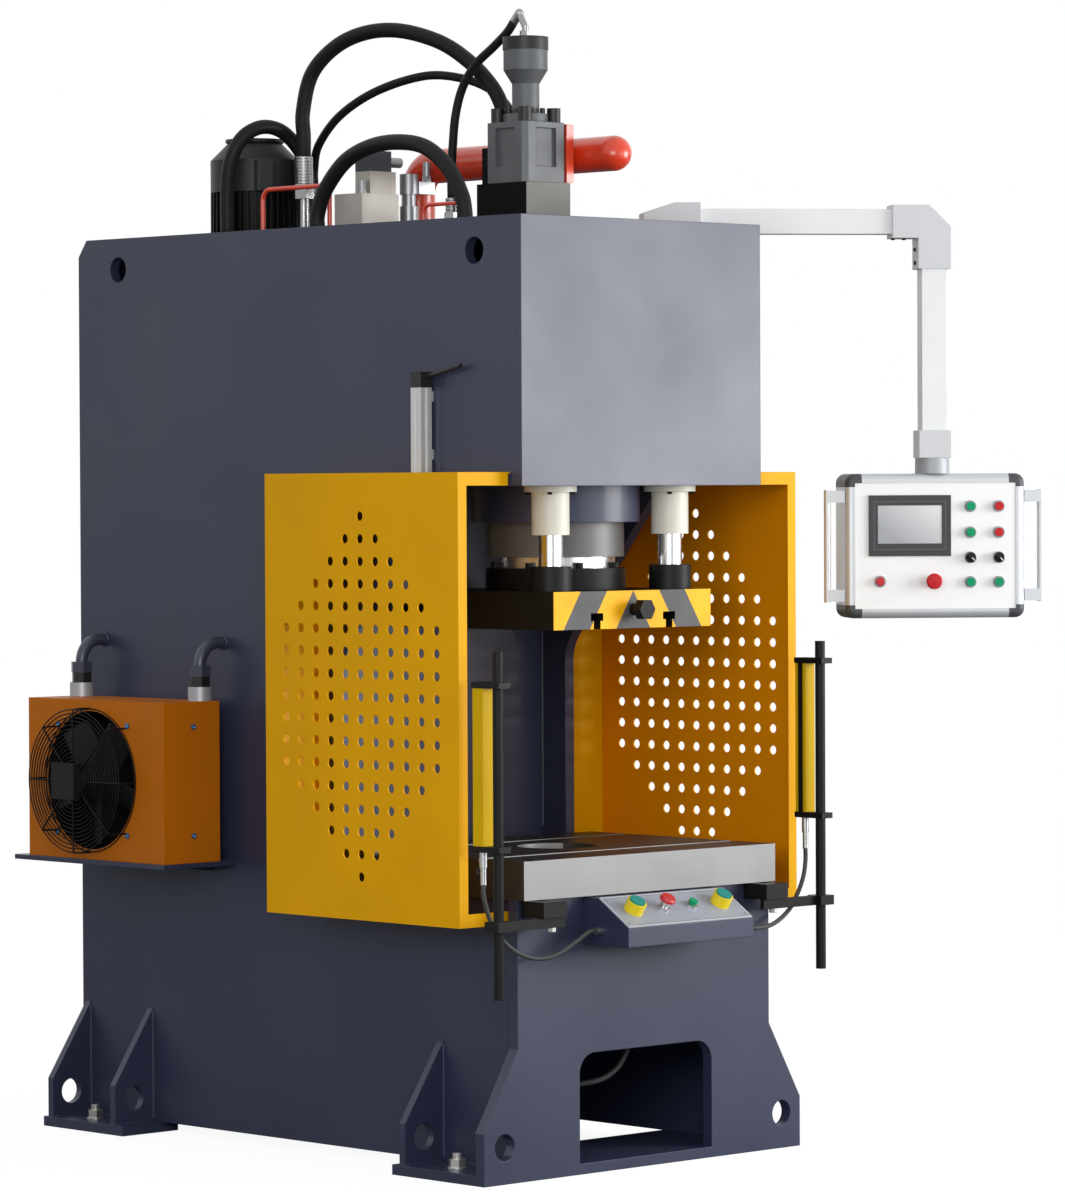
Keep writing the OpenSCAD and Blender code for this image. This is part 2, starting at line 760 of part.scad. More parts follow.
module prefill_valve() {
    corner = prefill_w / 2 - 24;
    color([0.47, 0.49, 0.5]) translate([0, deep(prefill_y), 0]) {
        difference() {
            translate([0, 0, prefill_z]) linear_extrude(prefill_h) cut_square(prefill_w, 12);
            for (a = [180, 270]) rotate([0, 0, a])
                translate([prefill_w / 2 - 9, -recess_w / 2, prefill_z + recess_z]) cube([20, recess_w, recess_h]);
        }
        translate([0, 0, prefill_top]) rotate_extrude() polygon([[0, 0], [56, 0], [56, pilot_flange_t],
            [34, pilot_flange_t], [34, pilot_flange_t + pilot_neck_h], [55, pilot_flange_t + pilot_neck_h + pilot_cone_h],
            [55, pilot_top - prefill_top - pilot_cap_h], [57, pilot_top - prefill_top - pilot_cap_h],
            [57, pilot_top - prefill_top], [0, pilot_top - prefill_top]]);
        for (sx = [-1, 1], sy = [-1, 1]) translate([sx * corner, sy * corner, prefill_top])
            cylinder(d = 34, h = 36);
        for (k = [0:7]) rotate([0, 0, 22.5 + 45 * k]) translate([45, 0, prefill_top + pilot_flange_t])
            cylinder(d = 13, h = 14);
    }
}

module red_pipes() {
    side_face = prefill_w / 2;
    color([0.86, 0.24, 0.1]) {
        slab([side_face, deep(prefill_y) - 70, suction_z - 72],
            [side_face + suction_flange_t, deep(prefill_y) + 70, suction_z + 72]);
        translate([side_face + suction_flange_t, deep(prefill_y), suction_z]) rotate([0, 90, 0])
            cylinder(d = suction_d - 8, h = suction_x - side_face - suction_flange_t);
        translate([suction_x, deep(suction_front), suction_z]) {
            sphere(d = suction_d);
            rotate([-90, 0, 0]) cylinder(d = suction_d, h = suction_rear - suction_front);
        }
        translate([suction_x, deep(suction_rear), suction_z - suction_bend_r]) rotate([90, 0, 90])
            rotate_extrude(angle = 90) translate([suction_bend_r, 0]) circle(d = suction_d);
        translate([suction_x, deep(suction_rear + suction_bend_r), roof_z])
            cylinder(d = suction_d, h = suction_z - suction_bend_r - roof_z);
        translate([suction_x, deep(suction_rear + suction_bend_r), roof_z]) cylinder(d = suction_d + 40, h = 16);
        thin_tube_left();
        thin_tube_right();
    }
}

// Thin drain tube that rises beside the motor and turns to the front
module thin_tube_left() {
    bend = 28;
    top = 2410;
    x = -288;
    y = 1078;
    translate([x, deep(y), roof_z]) cylinder(d = 12, h = top - bend - roof_z);
    translate([x, deep(y) - bend, top - bend]) rotate([90, 0, 90])
        rotate_extrude(angle = 90) translate([bend, 0]) circle(d = 12);
    translate([x, deep(y) - bend, top]) rotate([90, 0, 0]) cylinder(d = 12, h = 200);
    translate([x, deep(y) - bend - 200, top - bend]) rotate([90, 0, 90]) rotate([0, 0, 90])
        rotate_extrude(angle = 90) translate([bend, 0]) circle(d = 12);
    translate([x, deep(y) - 2 * bend - 200, roof_z]) cylinder(d = 12, h = top - bend - roof_z);
}

// Thin tube loop low over the roof, bent over at its front end
module thin_tube_right() {
    bend = 22;
    top = 2352;
    x = -200;
    y0 = 400;
    y1 = 570;
    for (y = [y0, y1]) translate([x, deep(y), roof_z]) cylinder(d = 10, h = top - bend - roof_z);
    translate([x, deep(y1) - bend, top - bend]) rotate([90, 0, 90])
        rotate_extrude(angle = 90) translate([bend, 0]) circle(d = 10);
    translate([x, deep(y0) + bend, top - bend]) rotate([90, 0, -90])
        rotate_extrude(angle = 90) translate([bend, 0]) circle(d = 10);
    translate([x, deep(y0) + bend, top]) rotate([-90, 0, 0]) cylinder(d = 10, h = y1 - y0 - 2 * bend);
}

module motor() {
    fins = 36;
    color([0.12, 0.13, 0.14]) translate([motor_x, deep(motor_y), roof_z]) {
        cylinder(d = motor_d + 16, h = 14);
        translate([0, 0, 14]) linear_extrude(motor_h - 14) union() {
            circle(d = motor_d - 36);
            for (k = [0:fins - 1]) rotate(360 * k / fins) translate([motor_d / 2 - 26, -2]) square([26, 4]);
        }
    }
}

module motor_cowl() {
    r = motor_d / 2;
    top_r = 76;
    shoulder = 55;
    color([0.24, 0.25, 0.27]) translate([motor_x, deep(motor_y), roof_z + motor_h]) {
        rotate_extrude() polygon([[0, 0], [r, 0], [r, cowl_h - shoulder], [top_r - 8, cowl_h - 8],
            [top_r, cowl_h - 8], [top_r, cowl_h], [0, cowl_h]]);
        rotate(-118) translate([r - 14, 0, 0]) linear_extrude(cowl_h - shoulder - 4) union() {
            translate([0, -26]) square([18, 52]);
            for (s = [-1, 1]) translate([18, s * 16]) circle(10);
            translate([0, -16]) square([28, 32]);
        }
    }
}

module solenoid_valve() {
    coil_z = roof_z + manifold_h + upper_block_h;
    mid_z = coil_z + coil_h / 2;
    coil_end = upper_block_x + coil_w;
    switch_x = 98;
    color([0.3, 0.33, 0.4]) {
        slab([upper_block_x, deep(upper_block_y), coil_z],
            [coil_end, deep(upper_block_y + upper_block_d), coil_z + coil_h]);
        translate([coil_end, deep(upper_block_y + 26), mid_z]) rotate([0, 90, 0]) cylinder(d = 26, h = 52);
        translate([cartridge_x, deep(cartridge_y), roof_z]) {
            cylinder(d = cartridge_d, h = 86);
            translate([0, 0, 86]) cylinder(d = cartridge_d - 12, h = 30);
            translate([0, 0, 116]) cylinder(d = cartridge_d, h = 52);
        }
        slab([cartridge_x + cartridge_d / 2 - 3, deep(cartridge_y) - 16, roof_z + 118],
            [switch_x + 14, deep(cartridge_y) + 16, roof_z + 150]);
        translate([switch_x, deep(cartridge_y), roof_z + 150]) {
            cylinder(d = 24, h = 16, $fn = 6);
            translate([0, 0, 16]) cylinder(d = 20, h = 36);
        }
        translate([manifold_x + 22, deep(manifold_y + 24), roof_z + manifold_h]) {
            cylinder(d = 20, h = 34);
            cylinder(d = 26, h = 7);
        }
    }
}

// Ferrule, hex nut and stem that carry a hose end at the end of its route
module hose_end(route, at_start, d, ferrule_l, nut_h, stem_h) {
    n = len(route);
    p = at_start ? route[0] : route[n - 1];
    q = at_start ? route[1] : route[n - 2];
    v = unit(p - q);
    rod_along(p, v, ferrule_l, d + 8);
    translate(p + v * ferrule_l) hex_along(v, d + 12, nut_h);
    rod_along(p + v * (ferrule_l + nut_h), v, stem_h, d * 0.7);
}

// Hexagon from the local origin along a direction
module hex_along(v, af, h) {
    rotate([0, acos(v[2]), atan2(v[1], v[0])]) cylinder(d = af * hex_ratio, h = h, $fn = 6);
}

// Low ring round a hose where it enters the roof
module roof_ring(p, d) {
    translate([p[0], p[1], roof_z]) cylinder(d = d + 14, h = p[2] - roof_z);
}

module hose_fittings() {
    pressure = on_roof(pressure_route);
    pilot = on_roof(pilot_route);
    drain = on_roof(drain_route);
    back = on_roof(return_route, return_shift());
    vent = on_roof(vent_route);
    vent_dir = unit(vent[0] - vent[1]);
    vent_joint = vent[0] + vent_dir * 26;
    port_top = prefill_z + port_block_h;
    color([0.72, 0.73, 0.74]) {
        hose_end(pressure, true, pressure_hose_d, 71, 38, pressure[0][2] - 71 - 38 - roof_z);
        hose_end(pressure, false, pressure_hose_d, 24, 16, pressure[len(pressure) - 1][2] - 40 - port_top);
        hose_end(pilot, true, pilot_hose_d, 50, 24, pilot[0][2] - 74 - roof_z);
        hose_end(pilot, false, pilot_hose_d, 24, 16, pilot[len(pilot) - 1][2] - 40 - port_top);
        roof_ring(drain[0], drain_hose_d);
        hose_end(drain, false, drain_hose_d, 30, 20, drain[len(drain) - 1][2] - 50 - roof_z);
        roof_ring(back[0], return_hose_d);
        roof_ring(back[len(back) - 1], return_hose_d);
        hose_end(vent, false, vent_hose_d, 36, 20, vent[len(vent) - 1][2] - 56 - roof_z);
        rod_along(vent_joint, -vent_dir, 26, vent_hose_d);
        translate(vent_joint) sphere(d = vent_hose_d);
        translate([0, deep(prefill_y), pilot_top]) {
            cylinder(d = 26 * hex_ratio, h = 16, $fn = 6);
            cylinder(d = 18, h = 30);
        }
        rod_along([0, deep(prefill_y), pilot_top + 24], vent_joint - [0, deep(prefill_y), pilot_top + 24],
            norm(vent_joint - [0, deep(prefill_y), pilot_top + 24]), 16);
        translate([90, deep(front_t), 600]) rotate([-90, 0, 0]) cylinder(d = conduit_d + 10, h = 20);
        translate([-190, deep(web_y), 360]) rotate([90, 0, 0]) cylinder(d = conduit_d + 10, h = 20);
        both_sides() translate([console_w / 2, deep(-62), 590]) rotate([0, 90, 0]) cylinder(d = cable_d + 8, h = 16);
    }
}

module pressure_hose() {
    color([0.12, 0.12, 0.12]) swept_tube(on_roof(pressure_route), pressure_hose_d, [1, 0.2, 0]);
}

module pilot_hose() {
    color([0.12, 0.12, 0.12]) swept_tube(on_roof(pilot_route), pilot_hose_d, [1, 0.2, 0]);
}

module drain_hose() {
    color([0.12, 0.12, 0.12]) swept_tube(on_roof(drain_route), drain_hose_d, [1, -0.15, 0]);
}

module return_hose() {
    color([0.12, 0.12, 0.12]) swept_tube(on_roof(return_route, return_shift()), return_hose_d, [1, 0, 0]);
}

module vent_hose() {
    color([0.12, 0.12, 0.12]) swept_tube(on_roof(vent_route), vent_hose_d, [1, 0.1, 0]);
}

// Folded box of the cooler with the round mouth of its fan
module cooler_box() {
    end_y = cooler_y + cooler_l;
    top_z = shelf_z + cooler_h;
    color([0.75, 0.45, 0.08]) difference() {
        slab([cooler_face, deep(cooler_y), shelf_z], [cooler_x, deep(end_y), top_z]);
        slab([cooler_face + cooler_wall, deep(cooler_y) + cooler_wall, shelf_z + cooler_wall],
            [cooler_x - 60, deep(end_y) - cooler_wall, top_z - cooler_wall]);
        translate([cooler_face - 1, deep(fan_y), fan_axis_z]) rotate([0, 90, 0])
            cylinder(d = mouth_d, h = cooler_wall + 2);
    }
}

// Round wire guard: rings on spokes, with legs back to the box
module cooler_grille() {
    rim = grille_d / 2;
    color([0.07, 0.07, 0.08]) translate([cooler_face, deep(fan_y), fan_axis_z]) rotate([0, -90, 0]) {
        for (k = [0:grille_rings - 1]) translate([0, 0, grille_stand - grille_bar])
            ring(rim - 8 - k * grille_pitch, grille_bar, grille_bar);
        ring(rim, grille_bar, grille_bar);
        translate([0, 0, grille_stand - grille_bar]) ring(rim, grille_bar, grille_bar);
        for (a = [0:45:315]) rotate([0, 0, a]) {
            translate([fan_motor_d / 2 - 4, -2, grille_stand - grille_bar])
                cube([rim - fan_motor_d / 2 + 4, 4, grille_bar]);
            translate([rim - grille_bar, -2, 0]) cube([grille_bar, 4, grille_stand]);
        }
    }
}

// Flat ring of square section
module ring(r, w, h) {
    rotate_extrude() translate([r - w, 0]) square([w, h]);
}

// Fan motor carried by the guard, with its terminal box and shaft
module fan_motor() {
    color([0.1, 0.1, 0.11]) translate([cooler_face, deep(fan_y), fan_axis_z]) rotate([0, -90, 0]) {
        translate([0, 0, -6]) cylinder(d = fan_motor_d, h = grille_stand - grille_bar + 6);
        translate([0, 0, -6 - fan_hub_t]) cylinder(d = fan_shaft_d, h = fan_hub_t);
        translate([-46, -27, grille_stand]) cube([92, 89, 20]);
        translate([0, 0, grille_stand - grille_bar]) cylinder(d = fan_motor_d - 9, h = grille_bar);
    }
}

module cooler_fan() {
    start = 6 + 2;
    color([0.06, 0.06, 0.07]) translate([cooler_face + start, deep(fan_y), fan_axis_z]) rotate([0, 90, 0]) {
        difference() {
            cylinder(d = fan_hub_d, h = fan_hub_t - 4);
            translate([0, 0, -1]) cylinder(d = fan_shaft_d + 2 * run_fit, h = fan_hub_t);
        }
        intersection() {
            difference() {
                cylinder(d = fan_d, h = 46);
                translate([0, 0, -1]) cylinder(d = fan_hub_d, h = 50);
            }
            for (k = [0:fan_blades - 1]) rotate([0, 0, 360 * k / fan_blades])
                translate([fan_hub_d / 2 - 4, 0, fan_hub_t / 2 - 2]) rotate([28, 0, 0])
                    translate([0, -42, -1.5]) cube([fan_d / 2, 84, 3]);
        }
    }
}

module cooler_shelf() {
    color([0.17, 0.18, 0.24]) {
        slab([cooler_face - 14, deep(cooler_y) - 14, shelf_z - shelf_t],
            [-frame_w / 2, deep(cooler_y + cooler_l + shelf_over), shelf_z]);
        for (y = [cooler_y + 80, cooler_y + cooler_l - 20]) upright_xz(deep(y), 8)
            polygon([[-frame_w / 2, shelf_z - shelf_t], [cooler_face + 60, shelf_z - shelf_t],
                [-frame_w / 2, shelf_z - 30]]);
    }
}

// Sockets, unions and pipe bends from the cooler into the frame
module cooler_pipes() {
    top_z = shelf_z + cooler_h;
    union_z = top_z + socket_h;
    bend_z = union_z + 53;
    color([0.22, 0.24, 0.32]) for (y = [cooler_y + socket_inset, cooler_y + cooler_l - socket_inset - 6])
        translate([cooler_pipe_x, deep(y), 0]) {
            translate([0, 0, top_z]) cylinder(d = socket_d, h = socket_h);
            translate([0, 0, union_z]) cylinder(d = 46 * hex_ratio, h = 25, $fn = 6);
            translate([0, 0, union_z + 25]) cylinder(d = 50 * hex_ratio, h = 28, $fn = 6);
            translate([cooler_pipe_r, 0, bend_z]) rotate([90, 0, 0]) rotate([0, 0, 90])
                rotate_extrude(angle = 90) translate([cooler_pipe_r, 0]) circle(d = cooler_pipe_d);
            translate([cooler_pipe_r, 0, bend_z + cooler_pipe_r]) rotate([0, 90, 0])
                cylinder(d = cooler_pipe_d, h = -frame_w / 2 - cooler_pipe_x - cooler_pipe_r);
        }
}

// Slotted profile with a plug on top, clamped to the left side plate
module position_sensor() {
    clamp_t = sensor_x - sensor_w / 2 - frame_w / 2;
    color([0.7, 0.71, 0.72]) translate([-sensor_x, deep(sensor_y), 0]) {
        translate([0, 0, sensor_z]) linear_extrude(sensor_top - sensor_z) difference() {
            square(sensor_w, center = true);
            translate([-5, -sensor_w / 2 - 1]) square([10, 7]);
            translate([-sensor_w / 2 - 1, -5]) square([4, 10]);
        }
        translate([-sensor_w / 2, -sensor_w / 2, sensor_top]) cube([sensor_w, sensor_w, 38]);
        translate([sensor_w / 2 - 12, -sensor_w / 2, sensor_top + 26]) rotate([78, 0, 0])
            cylinder(d = 11, h = 120);
        for (z = sensor_clamps) translate([sensor_w / 2, -16, z]) cube([clamp_t, 32, 24]);
    }
}

// Light bar with a lens groove facing the other bar
module light_bar(z) {
    translate([post_x, deep(-post_front + bar_back), z]) linear_extrude(bar_l) difference() {
        square(bar_w, center = true);
        translate([-bar_w / 2 - 1, -8]) square([5, 16]);
    }
}

module light_bars() {
    color([0.86, 0.74, 0.12]) {
        light_bar(right_bar_z);
        mirror([1, 0, 0]) light_bar(left_bar_z);
    }
}

// Post with arm, block, end clamps and plug for one bar, on the right-hand side
module curtain_stand(bar_z) {
    y = deep(-post_front);
    hub_d = post_d + 22;
    translate([post_x, y, post_z]) cylinder(d = post_d, h = post_l);
    difference() {
        union() {
            slab([arm_end, y - arm_t / 2, arm_z - arm_h / 2], [post_x - post_d / 2 + 2, y + arm_t / 2, arm_z + arm_h / 2]);
            slab([post_x - hub_d / 2, y - hub_d / 2, arm_z - arm_h / 2], [post_x + hub_d / 2, y + hub_d / 2, arm_z + arm_h / 2]);
        }
        translate([post_x, y, arm_z - arm_h]) cylinder(d = post_d - 0.2, h = 2 * arm_h);
    }
    difference() {
        slab([block_x - block_w / 2, y - 14, arm_z + arm_h / 2], [block_x + block_w / 2, front_y, table_z - 1]);
        slab([block_x - 15, y + 22, arm_z + arm_h / 2 - 1], [block_x + 15, front_y - 12, table_z]);
    }
    for (z = [bar_z - 14, bar_z + bar_l]) {
        difference() {
            slab([post_x - bar_w / 2 - 2, y - hub_d / 2, z], [post_x + bar_w / 2 + 2, y + bar_back + bar_w / 2 + 2, z + 14]);
            translate([post_x, y, z - 1]) cylinder(d = post_d - 0.2, h = 16);
        }
    }
    translate([post_x, y + bar_back, bar_z - 14 - 78]) {
        cylinder(d = cable_d + 3, h = 40);
        translate([0, 0, 40]) cylinder(d = 18, h = 38);
    }
}

module curtain_stands() {
    color([0.15, 0.15, 0.15]) {
        curtain_stand(right_bar_z);
        mirror([1, 0, 0]) curtain_stand(left_bar_z);
    }
}

module left_cable() {
    color([0.35, 0.35, 0.35]) swept_tube(placed(left_cable_route), cable_d, [0.1, 1, 0.2], 8);
}

module right_cable() {
    color([0.35, 0.35, 0.35]) swept_tube(placed(right_cable_route), cable_d, [0.1, 1, -0.2], 8);
}

module conduit_loop() {
    color([0.6, 0.6, 0.58]) swept_tube(placed(conduit_route), conduit_d, [1, 0.5, 0.6], 8);
}

// Side outline of the console, in depth and height
module console_outline() {
    polygon([[front_y, console_z], [front_y, console_z + console_back_h],
        [front_y - console_top_d, console_z + console_back_h], [front_y - console_d, console_z + console_front_h],
        [front_y - console_d, console_z]]);
}

// Local frame on the middle of the console's sloping face
module on_console() {
    translate([0, front_y - (console_d + console_top_d) / 2, console_z + (console_back_h + console_front_h) / 2])
        rotate([console_slope, 0, 0]) children();
}

module console_box() {
    w = console_wall;
    color([0.2, 0.21, 0.27]) difference() {
        upright_yz(-console_w / 2, console_w) console_outline();
        upright_yz(-console_w / 2 + w, console_w - 2 * w) polygon([[front_y - w, console_z + w],
            [front_y - w, console_z + console_back_h - w],
            [front_y - console_top_d, console_z + console_back_h - w],
            [front_y - console_d + w, console_z + console_front_h - w / 2], [front_y - console_d + w, console_z + w]]);
        on_console() translate([-console_w / 2 + console_rim, -console_face_l / 2 + console_rim, -w - 20])
            cube([console_w - 2 * console_rim, console_face_l - 2 * console_rim, w + 40]);
    }
}

// Face plate with the two ring guards round the palm buttons
module console_plate() {
    color([0.72, 0.74, 0.8]) on_console() difference() {
        union() {
            translate([-console_w / 2 + 3, -console_face_l / 2 + 3, 0])
                cube([console_w - 6, console_face_l - 6, console_plate_t]);
            for (s = [-1, 1]) translate([s * palm_x, 0, console_plate_t]) cylinder(d = palm_ring_d, h = palm_ring_h);
            for (x = [stop_x, reset_x]) translate([x, 0, console_plate_t]) cylinder(d = 30, h = 6);
        }
        for (s = [-1, 1]) translate([s * palm_x, 0, console_plate_t + 2])
            cylinder(d = palm_d + 2 * face_gap, h = palm_ring_h);
        for (x = [-palm_x, palm_x, stop_x, reset_x]) translate([x, 0, -1])
            cylinder(d = stem_d + 2 * run_fit, h = palm_ring_h);
    }
}

// Palm button: cap inside its ring guard, stem through the plate
module palm_button(x) {
    low = console_plate_t + 2 + press_travel + 1;
    on_console() translate([x, 0, 0]) {
        translate([0, 0, low]) cylinder(d = palm_d, h = console_plate_t + palm_ring_h + 4 - low);
        translate([0, 0, -stem_l]) cylinder(d = stem_d, h = stem_l + low);
    }
}

module left_palm_button() {
    color([0.05, 0.55, 0.45]) palm_button(-palm_x);
}

module right_palm_button() {
    color([0.05, 0.55, 0.45]) palm_button(palm_x);
}

module console_stop() {
    base = console_plate_t + 6 + press_travel + 1;
    color([0.75, 0.13, 0.13]) on_console() translate([stop_x, 0, 0]) {
        translate([0, 0, base + 9]) rotate_extrude() polygon([[0, 0], [13, 0], [20, 4], [20, 10], [17, 14], [0, 15]]);
        translate([0, 0, base]) cylinder(d = 24, h = 9);
        translate([0, 0, -stem_l]) cylinder(d = stem_d, h = stem_l + base);
    }
}

module reset_button() {
    base = console_plate_t + 6 + press_travel + 1;
    color([0.05, 0.6, 0.4]) on_console() translate([reset_x, 0, 0]) {
        translate([0, 0, base]) cylinder(d = 22, h = 6);
        translate([0, 0, -stem_l]) cylinder(d = stem_d, h = stem_l + base);
    }
}

// Local frame of the boom: origin on the pivot, x along the boom
module on_boom() {
    translate([boom_x, deep(boom_y), 0]) rotate([0, 0, -boom_turn]) children();
}

// Bearing of the boom, carried by a pad on the right side plate
module boom_base() {
    bearing_h = elbow_bottom - face_gap - bearing_z;
    color([0.75, 0.76, 0.77]) translate([boom_x, deep(boom_y), bearing_z]) difference() {
        union() {
            cylinder(d = bearing_d, h = bearing_h);
            translate([-boom_out, -bearing_pad_w / 2, 0]) cube([boom_out, bearing_pad_w, bearing_h]);
        }
        translate([0, 0, -1]) cylinder(d = spigot_d + 2 * run_fit, h = bearing_h + 2);
    }
}

// Hollow square tube from the local origin along x
module square_tube(w, wall, l) {
    rotate([90, 0, 90]) linear_extrude(l) difference() {
        square(w, center = true);
        square(w - 2 * wall, center = true);
    }
}

module boom_tubes() {
    mid = boom_z + boom_w / 2;
    start = elbow_w / 2 + 1;
    color([0.92, 0.93, 0.93]) on_boom() {
        translate([base_step, 0, mid]) square_tube(boom_w, boom_wall, boom_reach - base_step - start);
        translate([boom_reach, 0, mid - start]) rotate([0, 90, 0]) square_tube(boom_w, boom_wall, mid - start - drop_z);
    }
}

// Side outline of an elbow casting: two legs and a cut outer corner
module elbow_outline(leg_x, leg_z) {
    h = elbow_w / 2;
    polygon([[-h, -leg_z], [h, -leg_z], [h, -h], [leg_x, -h], [leg_x, h], [elbow_cut - h, h], [-h, h - elbow_cut]]);
}

// Elbow casting lapped over the tube's ends
module elbow(leg_x, leg_z) {
    difference() {
        translate([0, elbow_w / 2, 0]) rotate([90, 0, 0]) linear_extrude(elbow_w) elbow_outline(leg_x, leg_z);
        translate([elbow_w / 2 + 1, -boom_w / 2, -boom_w / 2]) cube([leg_x, boom_w, boom_w]);
        translate([-boom_w / 2, -boom_w / 2, -leg_z - 1]) cube([boom_w, boom_w, leg_z + 1 - elbow_w / 2 - 1]);
    }
}

// Wedge-shaped casting that carries the boom on its pivot
module base_casting(mid) {
    top = mid + elbow_w / 2 + base_rise;
    low = mid - elbow_w / 2;
    difference() {
        translate([0, elbow_w / 2, 0]) rotate([90, 0, 0]) linear_extrude(elbow_w)
            polygon([[-base_back, elbow_bottom], [base_step, elbow_bottom], [base_step, low], [base_front, low],
                [base_front, top], [0, top], [-base_back, top - base_fall]]);
        translate([base_step, -boom_w / 2, mid - boom_w / 2]) cube([base_front, boom_w, boom_w]);
    }
    translate([0, 0, elbow_bottom - spigot_l]) cylinder(d = spigot_d, h = spigot_l);
}

module boom_elbows() {
    mid = boom_z + boom_w / 2;
    color([0.8, 0.81, 0.82]) on_boom() {
        base_casting(mid);
        translate([boom_reach, 0, mid]) mirror([1, 0, 0]) elbow(elbow_w / 2 + elbow_lap, elbow_w / 2 + elbow_drop);
        difference() {
            translate([boom_reach - clamp_w / 2, -clamp_w / 2, drop_z - clamp_h / 2]) cube([clamp_w, clamp_w, clamp_h]);
            translate([boom_reach - boom_w / 2, -boom_w / 2, drop_z]) cube([boom_w, boom_w, clamp_h]);
        }
        translate([boom_reach, 0, drop_z - clamp_h / 2 - swivel_l]) cylinder(d = swivel_d, h = swivel_l);
    }
}

// Local frame of the pendant: origin in the middle of its lower face
module on_pendant() {
    on_boom() translate([boom_reach, pendant_d / 2 - pendant_front, pendant_z]) children();
}

// Section of the pendant's frame profile: flat inside, rounded at its outer edges
module case_section() {
    far = pendant_wall - pendant_round;
    square([far, pendant_d]);
    translate([0, pendant_round]) square([pendant_wall, pendant_d - 2 * pendant_round]);
    for (y = [pendant_round, pendant_d - pendant_round]) translate([far, y]) circle(pendant_round);
}

// One straight length of the frame profile, a distance out from the middle
module case_rail(out, l) {
    translate([out - pendant_wall, l / 2, 0]) rotate([90, 0, 0]) linear_extrude(l) intersection() {
        case_section();
        square([pendant_wall, pendant_d]);
    }
}

// Frame of four profiles and four turned corners round the middle
module case_frame() {
    in_w = pendant_w - 2 * pendant_wall;
    in_h = pendant_h - 2 * pendant_wall;
    for (a = [0, 180]) rotate(a) case_rail(pendant_w / 2, in_h);
    for (a = [90, 270]) rotate(a) case_rail(pendant_h / 2, in_w);
    for (k = [0:3]) translate([(k == 0 || k == 3 ? 1 : -1) * in_w / 2, (k < 2 ? 1 : -1) * in_h / 2, 0]) rotate(90 * k)
        rotate_extrude(angle = 90) intersection() {
            case_section();
            square([pendant_wall, pendant_d]);
        }
    translate([-in_w / 2, -in_h / 2, 0]) cube([in_w, in_h, 4]);
}

// Case of framed profiles with handles and the lower half of the swivel
module pendant_case() {
    axis_y = pendant_front - pendant_d / 2;
    handle_y = handle_back - pendant_d / 2;
    foot = handle_d / 2 + 8;
    color([0.7, 0.71, 0.73]) on_pendant() {
        translate([0, pendant_d / 2, pendant_h / 2]) rotate([90, 0, 0]) case_frame();
        difference() {
            translate([0, axis_y, pendant_h]) cylinder(d = coupling_d, h = coupling_h - face_gap);
            translate([0, axis_y, pendant_h + coupling_h - swivel_l - face_gap])
                cylinder(d = swivel_d + 2 * run_fit, h = swivel_l + 1);
        }
        for (s = [-1, 1]) {
            handle_x = s * (pendant_w / 2 + handle_out);
            translate([handle_x, handle_y, pendant_h / 2 - handle_span / 2 - foot])
                cylinder(d = handle_d, h = handle_span + 2 * foot);
            for (z = [-1, 1]) translate([s * (pendant_w + handle_out) / 2, handle_y, pendant_h / 2 + z * handle_span / 2])
                cube([handle_out, handle_d + 2, 2 * foot - 4], center = true);
        }
    }
}

// Place on the pendant's panel, right along u and up along v, with local z out of the panel
module on_panel(u, v) {
    on_pendant() translate([u, -pendant_d / 2 + 2, v]) rotate([90, 0, 0]) children();
}

// Places of every button that goes through the panel
function panel_keys() = concat([for (u = key_u, v = key_v) [u, v]], [for (u = key_u) [u, selector_v]],
    [[stop_u, stop_v]]);

module pendant_panel() {
    w = pendant_w - 2 * pendant_wall;
    h = pendant_h - 2 * pendant_wall;
    color([0.95, 0.95, 0.95]) difference() {
        union() {
            on_panel(0, pendant_h / 2) translate([-w / 2, -h / 2, -panel_t]) cube([w, h, panel_t]);
            on_panel(bezel_u, bezel_v) translate([-bezel_w / 2, -bezel_h / 2, 0]) cube([bezel_w, bezel_h, 5]);
            for (k = panel_keys()) on_panel(k[0], k[1]) cylinder(d = key_ring_d, h = 5);
            on_panel(lamp_u, stop_v) cylinder(d = key_ring_d, h = 5);
            on_panel(lamp_u, stop_v) translate([0, 0, 5]) cylinder(d1 = 24, d2 = 20, h = 9);
        }
        for (k = panel_keys()) on_panel(k[0], k[1]) translate([0, 0, -panel_t - 1])
            cylinder(d = key_stem_d + 2 * run_fit, h = panel_t + 8);
        on_panel(bezel_u, bezel_v + 3) translate([-screen_w / 2, -screen_h / 2, 3.5]) cube([screen_w, screen_h, 2]);
    }
}

// Round push button with its stem through the panel
module push_key(u, v) {
    base = 5 + key_travel + 1;
    on_panel(u, v) {
        translate([0, 0, base]) cylinder(d = key_d, h = 5);
        translate([0, 0, -16]) cylinder(d = key_stem_d, h = 16 + base);
    }
}

module green_key_1() {
    color([0, 0.6, 0.4]) push_key(key_u[0], key_v[0]);
}

module red_key_1() {
    color([0.75, 0.15, 0.15]) push_key(key_u[1], key_v[0]);
}

module green_key_2() {
    color([0, 0.6, 0.4]) push_key(key_u[0], key_v[1]);
}

module red_key_2() {
    color([0.75, 0.15, 0.15]) push_key(key_u[1], key_v[1]);
}

module green_key_3() {
    color([0, 0.6, 0.4]) push_key(key_u[0], key_v[2]);
}

module green_key_4() {
    color([0, 0.6, 0.4]) push_key(key_u[1], key_v[2]);
}

